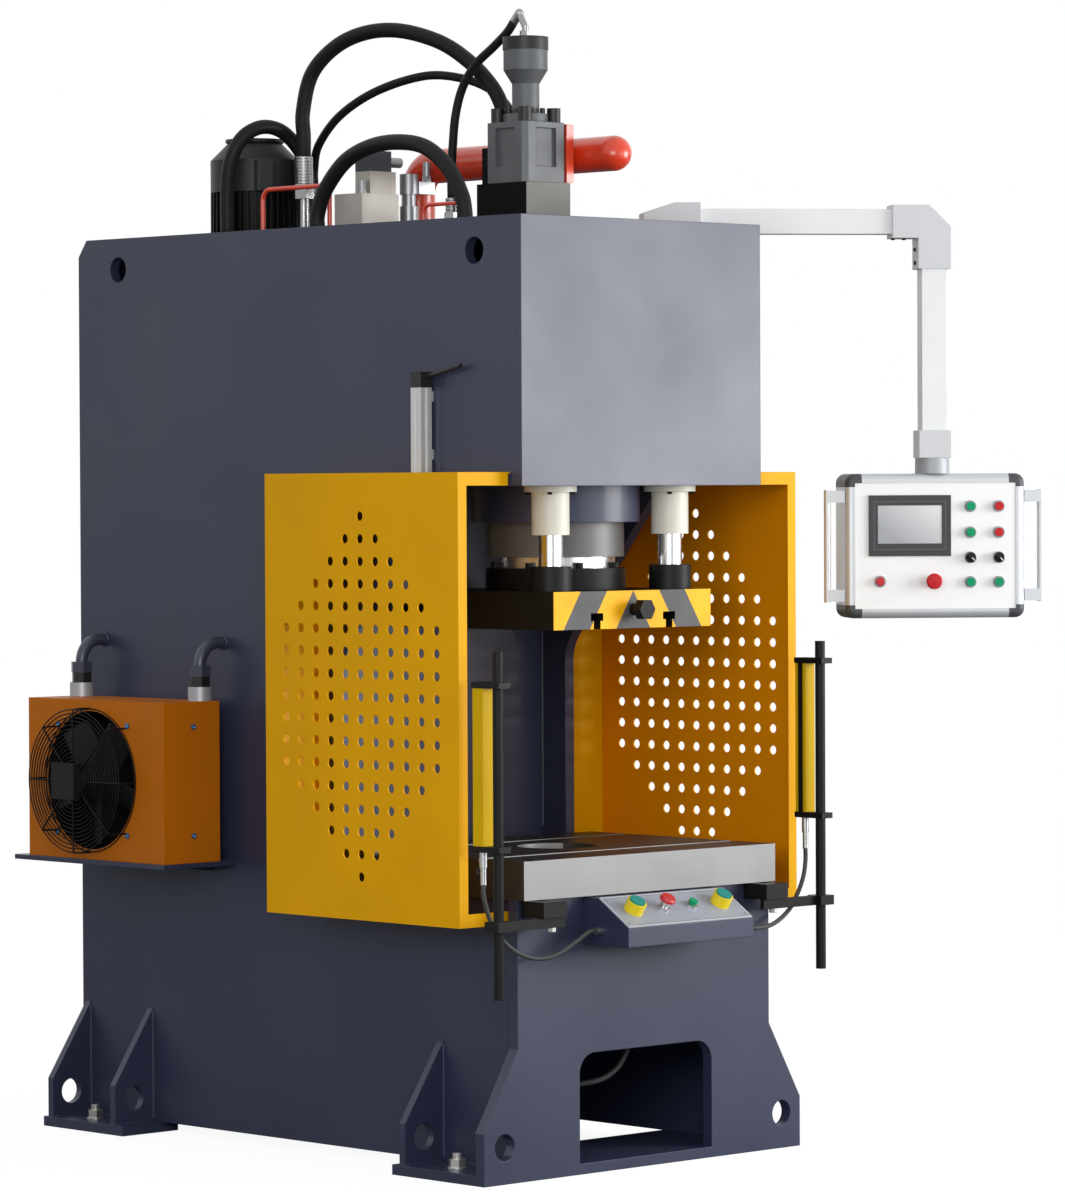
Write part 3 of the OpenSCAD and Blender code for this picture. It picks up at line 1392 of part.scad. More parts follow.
// Turning selector with a raised grip across its disc
module selector(u) {
    on_panel(u, selector_v) {
        translate([0, 0, 5 + face_gap]) cylinder(d = 26, h = 5);
        translate([0, 0, 10 + face_gap]) rotate(-45) translate([-13, -4, 0]) cube([26, 8, 10]);
        translate([0, 0, -16]) cylinder(d = key_stem_d, h = 21 + face_gap);
    }
}

module left_selector() {
    color([0.05, 0.05, 0.05]) selector(key_u[0]);
}

module right_selector() {
    color([0.05, 0.05, 0.05]) selector(key_u[1]);
}

module pendant_stop() {
    base = 5 + key_travel + 1;
    color([0.75, 0.13, 0.13]) on_panel(stop_u, stop_v) {
        translate([0, 0, base + 7]) rotate_extrude() polygon([[0, 0], [13, 0], [20, 4], [20, 10], [17, 13], [0, 14]]);
        translate([0, 0, base]) cylinder(d = 24, h = 7);
        translate([0, 0, -16]) cylinder(d = key_stem_d, h = 16 + base);
    }
}

module ram() {
    color([0.75, 0.75, 0.74]) translate([0, ram_pos, 0]) {
        translate([0, 0, ram_z]) cylinder(d = ram_d, h = min(ram_top, barrel_end - 5) - ram_z);
        translate([0, 0, platen_top + flange_t]) cylinder(d = neck_d, h = neck_h);
    }
}

// Bolted flange that carries the platen under the ram
module ram_flange() {
    screws = 8;
    color([0.1, 0.1, 0.1]) translate([0, ram_pos, platen_top]) {
        cylinder(d = flange_d, h = flange_t);
        for (k = [0:screws - 1]) rotate([0, 0, 22.5 + 360 * k / screws]) translate([flange_d / 2 - 14, 0, flange_t])
            difference() {
                cylinder(d = 20, h = 14);
                translate([0, 0, 6]) cylinder(d = 11 * hex_ratio, h = 9, $fn = 6);
            }
    }
}

// T-slot profile cut along Y through the platen's underside
module platen_slot(x) {
    slab([x - 11.5, ram_pos - platen_d / 2 - 1, platen_z - 1], [x + 11.5, ram_pos + platen_d / 2 + 1, platen_z + 21]);
    slab([x - 21, ram_pos - platen_d / 2 - 1, platen_z + 20], [x + 21, ram_pos + platen_d / 2 + 1, platen_z + 38.5]);
}

module platen() {
    front = ram_pos - platen_d / 2;
    color([0.2, 0.2, 0.19]) {
        difference() {
            slab([-platen_w / 2, front, platen_z], [platen_w / 2, ram_pos + platen_d / 2, platen_top]);
            for (s = [-1, 1]) platen_slot(s * platen_slot_x);
        }
        translate([0, front, platen_z + platen_t / 2]) rotate([90, 0, 0]) {
            cylinder(d = 30, h = 26);
            translate([0, 0, 26]) cylinder(d = 46 * hex_ratio, h = 24, $fn = 6);
        }
    }
}

module guide_rods() {
    color([0.82, 0.83, 0.84]) at_guides() {
        translate([0, 0, platen_top]) cylinder(d = rod_d, h = rod_top - platen_top);
        translate([0, 0, platen_top]) difference() {
            cylinder(d = collar_d, h = collar_h);
            translate([0, 0, -1]) cylinder(d = rod_d - 0.2, h = collar_h + 2);
        }
    }
}

side_plates();
head_plates();
rear_plates();
apron_plate();
feet();
frame_bolts();
table();
cylinder_barrel();  // cylinder
guide_bushes();
left_guard();
right_guard();
steel_blocks();
prefill_valve();
red_pipes();
motor();
motor_cowl();
solenoid_valve();
hose_fittings();
pressure_hose();
pilot_hose();
drain_hose();
return_hose();
vent_hose();
cooler_box();
cooler_grille();
fan_motor();
cooler_shelf();
cooler_pipes();
position_sensor();
light_bars();
curtain_stands();
left_cable();
right_cable();
conduit_loop();
console_box();
console_plate();
boom_base();
cooler_fan();
left_palm_button();
right_palm_button();
console_stop();
reset_button();
boom_tubes();
boom_elbows();
pendant_case();
pendant_panel();
green_key_1();
red_key_1();
green_key_2();
red_key_2();
green_key_3();
green_key_4();
left_selector();
right_selector();
pendant_stop();
ram();
ram_flange();
platen();
guide_rods();
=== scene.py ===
"""Hydraulic press: camera, hoses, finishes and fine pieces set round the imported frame.

Lengths are in metres, except those in mm that are multiplied by MM or go through deep().
"""

import json
import math

import bmesh
import bpy
import numpy as np

from mathutils import Matrix


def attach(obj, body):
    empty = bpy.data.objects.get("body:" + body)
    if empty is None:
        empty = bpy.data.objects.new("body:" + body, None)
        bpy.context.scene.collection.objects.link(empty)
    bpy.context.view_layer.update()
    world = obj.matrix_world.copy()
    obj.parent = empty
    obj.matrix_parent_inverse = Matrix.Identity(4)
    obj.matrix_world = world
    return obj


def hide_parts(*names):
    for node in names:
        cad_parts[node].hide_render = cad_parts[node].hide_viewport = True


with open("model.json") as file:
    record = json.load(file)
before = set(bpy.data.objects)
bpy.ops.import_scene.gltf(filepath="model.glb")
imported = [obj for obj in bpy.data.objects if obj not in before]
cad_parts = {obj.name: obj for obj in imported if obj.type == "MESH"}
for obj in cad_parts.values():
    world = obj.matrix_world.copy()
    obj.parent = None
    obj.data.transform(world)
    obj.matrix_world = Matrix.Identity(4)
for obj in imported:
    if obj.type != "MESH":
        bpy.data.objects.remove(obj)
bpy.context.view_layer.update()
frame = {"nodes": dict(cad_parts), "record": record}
nodes = frame["nodes"]
MM = 0.001

# Distance from the head's front face back to the ram's axis, which is the origin
RAM_Y = 312
# Axes of the frame that the pieces use
UP = np.array([0.0, 0.0, 1.0])
LEFT = np.array([-1.0, 0, 0])
# Rise and run of the console's face, its slope in radians, and the directions up it and out of it
CONSOLE_RISE = 113 - 45
CONSOLE_RUN = 157 - 51
CONSOLE_SLOPE = math.atan2(CONSOLE_RISE, CONSOLE_RUN)
CONSOLE_ALONG = np.array([0, math.cos(CONSOLE_SLOPE), math.sin(CONSOLE_SLOPE)])
CONSOLE_OUT = np.array([0, -math.sin(CONSOLE_SLOPE), math.cos(CONSOLE_SLOPE)])
CONSOLE_ORIGIN = np.array([0, -RAM_Y - 104, 634]) * MM
# Turn of the boom at rest, the directions along it and across it, and where the pendant hangs
BOOM_TURN = math.radians(37)
BOOM_PIVOT = np.array([455, 353 - RAM_Y, 0]) * MM
BOOM_REACH = 668 * MM
ALONG = np.array([math.cos(BOOM_TURN), -math.sin(BOOM_TURN), 0])
INWARD = np.array([math.sin(BOOM_TURN), math.cos(BOOM_TURN), 0])
DROP = BOOM_PIVOT + BOOM_REACH * ALONG
# Pendant: lower edge, height, half width, depth of its panel before the drop tube, and the panel's origin
PENDANT_Z = 1.315
PENDANT_H = 0.368
PENDANT_HALF = 0.232
PANEL_DEPTH = 0.042
PANEL_ORIGIN = DROP - PANEL_DEPTH * INWARD + PENDANT_Z * UP
# Points closer than this are one point of a mesh
MERGE = 1e-6


def deep(points):
    """Points in mm with depths behind the front face, as places in metres."""
    p = np.array(points, dtype=float)
    return (p - [0, RAM_Y, 0]) * MM


# Camera


def place_camera():
    """Camera whose three axes come from the photograph's yaw, pitch and roll."""
    yaw = math.radians(43.56)
    pitch = math.radians(1.21)
    roll = math.radians(0.26)
    focal_px = 5054.47
    image_h = 1200
    sensor = 36.0
    ahead = np.array([math.sin(yaw) * math.cos(pitch), math.cos(yaw) * math.cos(pitch), -math.sin(pitch)])
    level = np.array([math.cos(yaw), -math.sin(yaw), 0])
    down = np.cross(ahead, level)
    right = math.cos(roll) * level + math.sin(roll) * down
    below = -math.sin(roll) * level + math.cos(roll) * down
    data = bpy.data.cameras.new("photo_camera")
    data.sensor_fit = "AUTO"
    data.sensor_width = sensor
    data.lens = focal_px / image_h * sensor
    data.clip_end = 100
    camera = bpy.data.objects.new("photo_camera", data)
    bpy.context.scene.collection.objects.link(camera)
    place = deep([-8649.2, -8700.5, 1637.3])
    turn = np.eye(4)
    turn[:3, 0] = right
    turn[:3, 1] = -below
    turn[:3, 2] = -ahead
    turn[:3, 3] = place
    camera.matrix_world = Matrix(turn.tolist())
    bpy.context.scene.camera = camera


place_camera()

# Mesh makers


def link(name, mesh, material, body):
    """Object for a finished mesh, with its finish, riding on a body."""
    obj = bpy.data.objects.new(name, mesh)
    bpy.context.scene.collection.objects.link(obj)
    mesh.materials.append(material)
    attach(obj, body)
    return obj


def smooth_all(mesh):
    """Smooth shading on every face."""
    mesh.polygons.foreach_set("use_smooth", np.full(len(mesh.polygons), True))


def grid_mesh(name, points, loop=False):
    """Mesh with one face per cell of a grid of points.

    Columns close on themselves, and rows too where loop is true.
    """
    rows, cols = points.shape[:2]
    r = np.arange(rows if loop else rows - 1)
    c = np.arange(cols)
    r0, c0 = np.meshgrid(r, c, indexing="ij")
    r1 = (r0 + 1) % rows
    c1 = (c0 + 1) % cols
    faces = np.stack([r0 * cols + c0, r0 * cols + c1, r1 * cols + c1, r1 * cols + c0], axis=-1)
    mesh = bpy.data.meshes.new(name)
    mesh.from_pydata(points.reshape(-1, 3).tolist(), [], faces.reshape(-1, 4).tolist())
    work = bmesh.new()
    work.from_mesh(mesh)
    bmesh.ops.remove_doubles(work, verts=work.verts, dist=MERGE)
    bmesh.ops.recalc_face_normals(work, faces=work.faces)
    work.to_mesh(mesh)
    work.free()
    smooth_all(mesh)
    return mesh


def smooth_path(points, per_span=8):
    """Curve through the points: cubic spans whose slopes are half the chord between neighbours."""
    p = np.asarray(points, dtype=float)
    slope = np.empty_like(p)
    slope[1:-1] = (p[2:] - p[:-2]) / 2
    slope[0] = p[1] - p[0]
    slope[-1] = p[-1] - p[-2]
    t = np.linspace(0, 1, per_span, endpoint=False)[None, :, None]
    a = p[:-1, None, :]
    b = p[1:, None, :]
    sa = slope[:-1, None, :]
    sb = slope[1:, None, :]
    curve = (2 * t**3 - 3 * t**2 + 1) * a + (t**3 - 2 * t**2 + t) * sa
    curve = curve + (-2 * t**3 + 3 * t**2) * b + (t**3 - t**2) * sb
    return np.vstack([curve.reshape(-1, 3), p[-1:]])


def tube_grid(path, radius, side, sides=20):
    """Rings of a tube: a circle square to the path at each of its points, its first spoke towards side."""
    ahead = np.gradient(path, axis=0)
    ahead = ahead / np.linalg.norm(ahead, axis=1)[:, None]
    side = np.asarray(side, dtype=float)
    u = side[None, :] - ahead * (ahead @ side)[:, None]
    u = u / np.linalg.norm(u, axis=1)[:, None]
    v = np.cross(ahead, u)
    a = np.linspace(0, 2 * np.pi, sides, endpoint=False)[None, :, None]
    r = np.broadcast_to(np.asarray(radius, dtype=float), len(path))[:, None, None]
    return path[:, None, :] + r * (np.cos(a) * u[:, None, :] + np.sin(a) * v[:, None, :])


def closed_tube(path, radius, side, sides=20):
    """Tube rings with a point ring added at each end, so that the tube is closed."""
    grid = tube_grid(path, radius, side, sides)
    first = np.repeat(path[:1], sides, axis=0)[None]
    last = np.repeat(path[-1:], sides, axis=0)[None]
    return np.concatenate([first, grid, last])


def revolve_grid(profile, base, axis, sides):
    """Profile of (radius, height) pairs turned about an axis through base."""
    axis = np.asarray(axis, dtype=float) / np.linalg.norm(axis)
    helper = np.array([1.0, 0, 0]) if abs(axis[0]) < 0.9 else np.array([0, 1.0, 0])
    u = np.cross(axis, helper)
    u = u / np.linalg.norm(u)
    v = np.cross(axis, u)
    a = np.linspace(0, 2 * np.pi, sides, endpoint=False)[None, :, None]
    p = np.asarray(profile, dtype=float) * MM
    spoke = np.cos(a) * u + np.sin(a) * v
    return np.asarray(base) + p[:, 0, None, None] * spoke + p[:, 1, None, None] * axis


def ring_grid(middle, radius, thick, steps, sides=8):
    """Ring square to X: a circle about middle, with a circle of radius thick about each of its points."""
    a = np.linspace(0, 2 * np.pi, steps, endpoint=False)
    b = np.linspace(0, 2 * np.pi, sides, endpoint=False)[None, :, None]
    spoke = np.stack([np.zeros_like(a), np.cos(a), np.sin(a)], axis=1)
    path = middle + radius * spoke
    wire = np.broadcast_to(np.asarray(thick, dtype=float), steps)[:, None, None]
    return path[:, None, :] + wire * (np.cos(b) * spoke[:, None, :] + np.sin(b) * LEFT), True


# Finishes


def start_material(name):
    """Empty node material with its shader."""
    mat = bpy.data.materials.new(name)
    mat.use_nodes = True
    return mat, mat.node_tree, mat.node_tree.nodes["Principled BSDF"]


def coords(tree, stretch=(1, 1, 1)):
    """Object coordinates, stretched per axis."""
    place = tree.nodes.new("ShaderNodeTexCoord")
    mapping = tree.nodes.new("ShaderNodeMapping")
    mapping.inputs["Scale"].default_value = stretch
    tree.links.new(place.outputs["Object"], mapping.inputs["Vector"])
    return mapping.outputs["Vector"]


def noise(tree, scale, detail, stretch=(1, 1, 1)):
    """Noise value from 0 to 1 on Object coordinates."""
    tex = tree.nodes.new("ShaderNodeTexNoise")
    tex.inputs["Scale"].default_value = scale
    tex.inputs["Detail"].default_value = detail
    tree.links.new(coords(tree, stretch), tex.inputs["Vector"])
    return tex.outputs["Fac"]


def ranged(tree, value, low, high, start=0.3, end=0.7):
    """Value spread from start..end to low..high."""
    node = tree.nodes.new("ShaderNodeMapRange")
    node.inputs["From Min"].default_value = start
    node.inputs["From Max"].default_value = end
    node.inputs["To Min"].default_value = low
    node.inputs["To Max"].default_value = high
    tree.links.new(value, node.inputs["Value"])
    return node.outputs["Result"]


def mixed(tree, factor, first, second):
    """Colour mix of two colours or sockets by a factor socket."""
    node = tree.nodes.new("ShaderNodeMix")
    node.data_type = "RGBA"
    for socket, value in ((node.inputs[6], first), (node.inputs[7], second)):
        if isinstance(value, tuple):
            socket.default_value = (*value, 1)
        else:
            tree.links.new(value, socket)
    tree.links.new(factor, node.inputs[0])
    return node.outputs[2]


def math_node(tree, kind, first, second=0.0):
    """One arithmetic node on sockets or numbers."""
    node = tree.nodes.new("ShaderNodeMath")
    node.operation = kind
    for socket, value in zip(node.inputs, (first, second)):
        if isinstance(value, (int, float)):
            socket.default_value = value
        else:
            tree.links.new(value, socket)
    return node.outputs[0]


def product(tree, first, *others):
    """All the values multiplied together; of masks, the area that they share."""
    total = first
    for other in others:
        total = math_node(tree, "MULTIPLY", total, other)
    return total


def blended(tree, mask, under, over):
    """Number that is over where the mask is one, and under where it is nought."""
    rest = product(tree, under, math_node(tree, "SUBTRACT", 1.0, mask))
    return math_node(tree, "ADD", rest, product(tree, mask, over))


def srgb(r, g, b):
    """Screen colour from 0 to 255, as linear light."""
    c = np.array([r, g, b]) / 255
    lin = np.where(c <= 0.04045, c / 12.92, ((c + 0.055) / 1.055) ** 2.4)
    return tuple(float(x) for x in lin)


def shade(colour, amount):
    """Colour made lighter or darker by a factor."""
    return tuple(min(1.0, c * amount) for c in colour)


def relief(tree, bsdf, height, depth, strength, edge):
    """Bump of a height socket over edges rounded by edge metres."""
    bump = tree.nodes.new("ShaderNodeBump")
    bump.inputs["Strength"].default_value = strength
    bump.inputs["Distance"].default_value = depth
    tree.links.new(height, bump.inputs["Height"])
    if edge > 0:
        bevel = tree.nodes.new("ShaderNodeBevel")
        bevel.samples = 4
        bevel.inputs["Radius"].default_value = edge
        tree.links.new(bevel.outputs["Normal"], bump.inputs["Normal"])
    tree.links.new(bump.outputs["Normal"], bsdf.inputs["Normal"])


# Detail of the noise behind colour and grain, and roughness of a clear coat
CLOUD_DETAIL = 4.0
GRAIN_DETAIL = 2.0
COAT_ROUGH = 0.15


def mottled(tree, cloud, colour, mottle):
    """Colour that wanders with the cloud between a darker and a lighter tone."""
    return mixed(tree, ranged(tree, cloud, 0, 1), shade(colour, 1 - mottle), shade(colour, 1 + mottle))


def finish(name, colour, rough, metal=0.0, coat=0.0, mottle=0.1, mottle_scale=5.0, grain_scale=300.0,
           grain=0.15, depth=0.0004, stretch=(1, 1, 1), spread=0.06, edge=0.002, sheen=0.5, layers=()):
    """Base finish: mottled colour, grain bump and uneven gloss.

    Each layer is a mask, a colour, a roughness and a share of metal, painted over what came before.
    """
    mat, tree, bsdf = start_material(name)
    cloud = noise(tree, mottle_scale, CLOUD_DETAIL)
    tint = mottled(tree, cloud, colour, mottle)
    gloss = ranged(tree, cloud, rough - spread, rough + spread)
    shine = metal
    for mask_of, layer_colour, layer_rough, layer_metal in layers:
        mask = mask_of(tree)
        tint = mixed(tree, mask, tint, mottled(tree, cloud, layer_colour, mottle))
        gloss = blended(tree, mask, gloss, layer_rough)
        shine = blended(tree, mask, shine, layer_metal)
    tree.links.new(tint, bsdf.inputs["Base Color"])
    tree.links.new(gloss, bsdf.inputs["Roughness"])
    if layers:
        tree.links.new(shine, bsdf.inputs["Metallic"])
    else:
        bsdf.inputs["Metallic"].default_value = metal
    bsdf.inputs["Specular IOR Level"].default_value = sheen
    bsdf.inputs["Coat Weight"].default_value = coat
    bsdf.inputs["Coat Roughness"].default_value = COAT_ROUGH
    relief(tree, bsdf, noise(tree, grain_scale, GRAIN_DETAIL, stretch), depth, grain, edge)
    return mat


def axis_of(tree, axis):
    """One Object coordinate as a socket."""
    split = tree.nodes.new("ShaderNodeSeparateXYZ")
    tree.links.new(coords(tree), split.inputs[0])
    return split.outputs["XYZ".index(axis)]


def along_of(tree, origin, direction):
    """Distance of a surface point from origin along a direction."""
    parts = []
    for axis, start, step in zip("XYZ", origin, direction):
        away = math_node(tree, "SUBTRACT", axis_of(tree, axis), float(start))
        parts.append(math_node(tree, "MULTIPLY", away, float(step)))
    return math_node(tree, "ADD", math_node(tree, "ADD", parts[0], parts[1]), parts[2])


def off_middle(tree, value, middle=0.0):
    """Distance of a value from a middle, without its sign."""
    return math_node(tree, "ABSOLUTE", math_node(tree, "SUBTRACT", value, middle))


def above(tree, value, limit):
    """One where the value passes the limit, else nought."""
    return math_node(tree, "GREATER_THAN", value, limit)


def below(tree, value, limit):
    """One where the value is under the limit, else nought."""
    return math_node(tree, "LESS_THAN", value, limit)


def between(tree, value, low, high):
    """One between two limits, else nought."""
    return product(tree, above(tree, value, low), below(tree, value, high))


def inset_of(tree, across, up, half_w, half_h):
    """Distance in from the nearest edge of a rectangle; across and up are measured from its middle."""
    side = math_node(tree, "SUBTRACT", half_w, across)
    return math_node(tree, "MINIMUM", side, math_node(tree, "SUBTRACT", half_h, up))


def facing(tree, direction, limit=0.8):
    """One where the face looks along a direction of the piece's own frame."""
    place = tree.nodes.new("ShaderNodeTexCoord")
    dot = tree.nodes.new("ShaderNodeVectorMath")
    dot.operation = "DOT_PRODUCT"
    dot.inputs[1].default_value = direction
    tree.links.new(place.outputs["Normal"], dot.inputs[0])
    return above(tree, dot.outputs["Value"], limit)


# Colours of paints and materials, as they show on a screen
NAVY = srgb(44, 50, 74)
AMBER = srgb(228, 166, 2)
ORANGE = srgb(190, 106, 10)
STEEL = srgb(190, 189, 186)
DARK_STEEL = srgb(34, 32, 31)
BLACK = srgb(22, 22, 22)
CREAM = srgb(221, 218, 204)
CAST = srgb(92, 95, 98)
RED = srgb(222, 62, 28)
MOTOR_GREY = srgb(34, 37, 40)
RUBBER = srgb(23, 23, 24)
SILVER = srgb(205, 207, 208)
WHITE = srgb(240, 241, 242)
YELLOW = srgb(240, 214, 20)
HAZARD = srgb(246, 180, 14)
GREEN = srgb(0, 147, 98)
TEAL = srgb(0, 136, 129)
STOP_RED = srgb(190, 34, 40)


# Masks: each is one on the area that it names and nought elsewhere, with limits in metres


def table_top(tree):
    """The table's upper face, darker than its front."""
    return facing(tree, (0, 0, 1))


def table_side(tree):
    """Left and right sides of the table, darker than its front."""
    return math_node(tree, "MAXIMUM", facing(tree, (-1, 0, 0)), facing(tree, (1, 0, 0)))


def platen_front(tree, wanted):
    """Slanted bands on the platen's front: distance from the middle less a lean that grows downwards."""
    band_w = 0.089
    lean = 0.63
    top = 1.400
    front_y = -0.273
    slack = 0.0005
    offset = off_middle(tree, axis_of(tree, "X"))
    drop = math_node(tree, "SUBTRACT", top, axis_of(tree, "Z"))
    shifted = math_node(tree, "SUBTRACT", offset, product(tree, drop, lean))
    band = math_node(tree, "FLOOR", math_node(tree, "DIVIDE", shifted, band_w))
    odd = math_node(tree, "ABSOLUTE", math_node(tree, "MODULO", band, 2.0))
    grey = above(tree, odd, 0.5)
    front = between(tree, axis_of(tree, "Y"), front_y - slack, front_y + slack)
    chosen = grey if wanted == "grey" else math_node(tree, "SUBTRACT", 1.0, grey)
    return product(tree, front, chosen)


def valve_black(tree):
    """Cap and screws of the prefill valve, by their height and their distance from its axis."""
    axis_y = 0.099
    screw_top = 2.60
    screw_foot = 2.5555
    screw_out = 0.0565
    stud_foot = 2.5775
    stud_out = 0.0345
    cap_foot = 2.7365
    z = axis_of(tree, "Z")
    x = axis_of(tree, "X")
    y = math_node(tree, "SUBTRACT", axis_of(tree, "Y"), axis_y)
    out = math_node(tree, "SQRT", math_node(tree, "ADD", product(tree, x, x), product(tree, y, y)))
    screws = product(tree, between(tree, z, screw_foot, screw_top), above(tree, out, screw_out))
    studs = product(tree, between(tree, z, stud_foot, screw_top), above(tree, out, stud_out))
    cap = above(tree, z, cap_foot)
    return math_node(tree, "MAXIMUM", math_node(tree, "MAXIMUM", screws, studs), cap)


# Height just above the console's plate, and half the gap between the rings of its palm buttons
CONSOLE_SKIN = 0.0034
PALM_GAP = 0.11


def console_height(tree):
    """Height above the console's sloping face."""
    return along_of(tree, CONSOLE_ORIGIN, CONSOLE_OUT)


def ring_guard(tree):
    """The two tall rings round the palm buttons."""
    out = above(tree, off_middle(tree, axis_of(tree, "X")), PALM_GAP)
    return product(tree, above(tree, console_height(tree), CONSOLE_SKIN), out)


def button_base(tree):
    """The low rings under stop and reset."""
    near = below(tree, off_middle(tree, axis_of(tree, "X")), PALM_GAP)
    return product(tree, above(tree, console_height(tree), CONSOLE_SKIN), near)


def stop_collar(tree):
    """The plated collar under the console's stop button."""
    collar_top = 0.0229
    return below(tree, console_height(tree), collar_top)


def console_edge(tree, low, high):
    """Frame line on the console's plate, between two distances in from its edges."""
    half_w = 0.211
    half_l = 0.060
    across = off_middle(tree, axis_of(tree, "X"))
    up = off_middle(tree, along_of(tree, CONSOLE_ORIGIN, CONSOLE_ALONG))
    return between(tree, inset_of(tree, across, up, half_w, half_l), low, high)


# Height just in front of the pendant's panel
PANEL_SKIN = 0.0004


def panel_across(tree):
    """Distance to the right of the panel's middle."""
    return along_of(tree, PANEL_ORIGIN, ALONG)


def panel_up(tree):
    """Height above the pendant's lower edge."""
    return math_node(tree, "SUBTRACT", axis_of(tree, "Z"), PENDANT_Z)


def panel_height(tree):
    """Height in front of the pendant's panel."""
    return along_of(tree, PANEL_ORIGIN, -INWARD)


def panel_bezel(tree):
    """Dark frame of the screen."""
    across = between(tree, panel_across(tree), -0.174, 0.040)
    up = between(tree, panel_up(tree), 0.157, 0.314)
    return product(tree, above(tree, panel_height(tree), PANEL_SKIN), across, up)


def bezel_line(tree):
    """Fine pale line on the screen's frame, round a rectangle about the screen's middle."""
    middle_u = -0.067
    middle_v = 0.2355
    half_w = 0.093
    half_h = 0.0615
    line_w = 0.001
    bezel_skin = 0.0041
    across = off_middle(tree, panel_across(tree), middle_u)
    up = off_middle(tree, panel_up(tree), middle_v)
    line = between(tree, inset_of(tree, across, up, half_w, half_h), 0.0, line_w)
    return product(tree, above(tree, panel_height(tree), bezel_skin), line)


def panel_screen(tree):
    """Sunk display inside the screen's frame."""
    across = between(tree, panel_across(tree), -0.1496, 0.0156)
    up = between(tree, panel_up(tree), 0.1898, 0.2872)
    return product(tree, between(tree, panel_height(tree), 0.0030, 0.0040), across, up)


def screen_glare(tree):
    """Soft light patch that fades across the display from its upper right."""
    steepness = 1.4
    fade_start = 0.18
    fade_end = 0.40
    slant = math_node(tree, "ADD", panel_across(tree), product(tree, panel_up(tree), steepness))
    return product(tree, panel_screen(tree), ranged(tree, slant, 0.0, 1.0, fade_start, fade_end))


def panel_rings(tree):
    """Plated rings under the pendant's buttons, which lie right of the screen or under it."""
    screen_right = 0.06
    screen_foot = 0.13
    right = above(tree, panel_across(tree), screen_right)
    outside = math_node(tree, "MAXIMUM", right, below(tree, panel_up(tree), screen_foot))
    return product(tree, above(tree, panel_height(tree), PANEL_SKIN), outside)


def lamp_lens(tree):
    """Red lens of the power lamp."""
    lens_foot = 0.0054
    lamp_right = -0.1
    left = below(tree, panel_across(tree), lamp_right)
    return product(tree, above(tree, panel_height(tree), lens_foot), left)


def case_corner(tree):
    """Dark moulded corners of the pendant's case."""
    corner_w = 0.042
    corner_h = 0.034
    slack = 0.0002
    half_h = PENDANT_H / 2
    across = off_middle(tree, panel_across(tree))
    up = off_middle(tree, axis_of(tree, "Z"), PENDANT_Z + half_h)
    wide = between(tree, across, PENDANT_HALF - corner_w, PENDANT_HALF + slack)
    tall = between(tree, up, half_h - corner_h, half_h + slack)
    return product(tree, wide, tall)


def case_neck(tree):
    """Grey swivel neck on top of the pendant's case."""
    slack = 0.0003
    return above(tree, axis_of(tree, "Z"), PENDANT_Z + PENDANT_H + slack)


# Tops of the cooler's zinc sockets and of the hexagons on them
SOCKET_TOP = 1.1538
HEX_TOP = 1.1788


def pipe_socket(tree):
    """Zinc sockets on the cooler."""
    return below(tree, axis_of(tree, "Z"), SOCKET_TOP)


def pipe_hex(tree):
    """Black hexagons above the sockets."""
    return between(tree, axis_of(tree, "Z"), SOCKET_TOP, HEX_TOP)


def shaded_box_inside(tree):
    """Inside of the cooler box, painted near black as painted shade: every face more than 2 mm in from the
    outer planes.
    """
    across = between(tree, axis_of(tree, "X"), -0.627, -0.449)
    back = between(tree, axis_of(tree, "Y"), 0.762, 1.303)
    up = between(tree, axis_of(tree, "Z"), 0.715, 1.116)
    return product(tree, across, back, up)


def sensor_cap(tree):
    """Black head and plug of the position sensor."""
    tube_top = 1.8932
    return above(tree, axis_of(tree, "Z"), tube_top)


def stand_plug(tree):
    """Bright cable plugs under the light bars; the left bar hangs 30 mm lower than the right one."""
    mean_top = 0.8088
    half_step = 0.015
    foot = 0.70
    post_side = 0.535
    z = axis_of(tree, "Z")
    side = product(tree, math_node(tree, "SIGN", axis_of(tree, "X")), half_step)
    under = below(tree, math_node(tree, "SUBTRACT", z, side), mean_top)
    along = between(tree, axis_of(tree, "Y"), -0.336, -0.314)
    out = above(tree, off_middle(tree, axis_of(tree, "X")), post_side)
    return product(tree, along, under, above(tree, z, foot), out)


def bar_lens(tree):
    """Dark window sunk in the inner face of each light bar."""
    across = between(tree, off_middle(tree, axis_of(tree, "X")), 0.530, 0.5386)
    along = between(tree, axis_of(tree, "Y"), -0.3332, -0.3168)
    return product(tree, across, along)


# How squarely a bent or turned face must look sideways to be painted as a side
SIDE_LIMIT = 0.7


def shaded_spacer_side(tree):
    """Left side of the block under the prefill valve, painted near black as painted shade."""
    spacer_back = 0.35
    return product(tree, facing(tree, (-1, 0, 0), SIDE_LIMIT), below(tree, axis_of(tree, "Y"), spacer_back))


def manifold_bright(tree):
    """Polished valve manifold behind the prefill valve."""
    manifold_front = 0.5
    return above(tree, axis_of(tree, "Y"), manifold_front)


def valve_coil(tree):
    """Moulded coil on top of the solenoid valve."""
    coil_foot = 2.4552
    coil_right = -0.0398
    high = above(tree, axis_of(tree, "Z"), coil_foot)
    return product(tree, high, below(tree, axis_of(tree, "X"), coil_right))


def guard_inside(tree):
    """Inner face of the right guard, warmer from the light that the guard itself throws back."""
    right_side = 0.3
    return product(tree, facing(tree, (-1, 0, 0), SIDE_LIMIT), above(tree, axis_of(tree, "X"), right_side))


def ram_neck(tree):
    """Bright turned neck between the ram and its flange."""
    shoulder = 1.481
    slack = 0.0003
    return below(tree, axis_of(tree, "Z"), shoulder - slack)


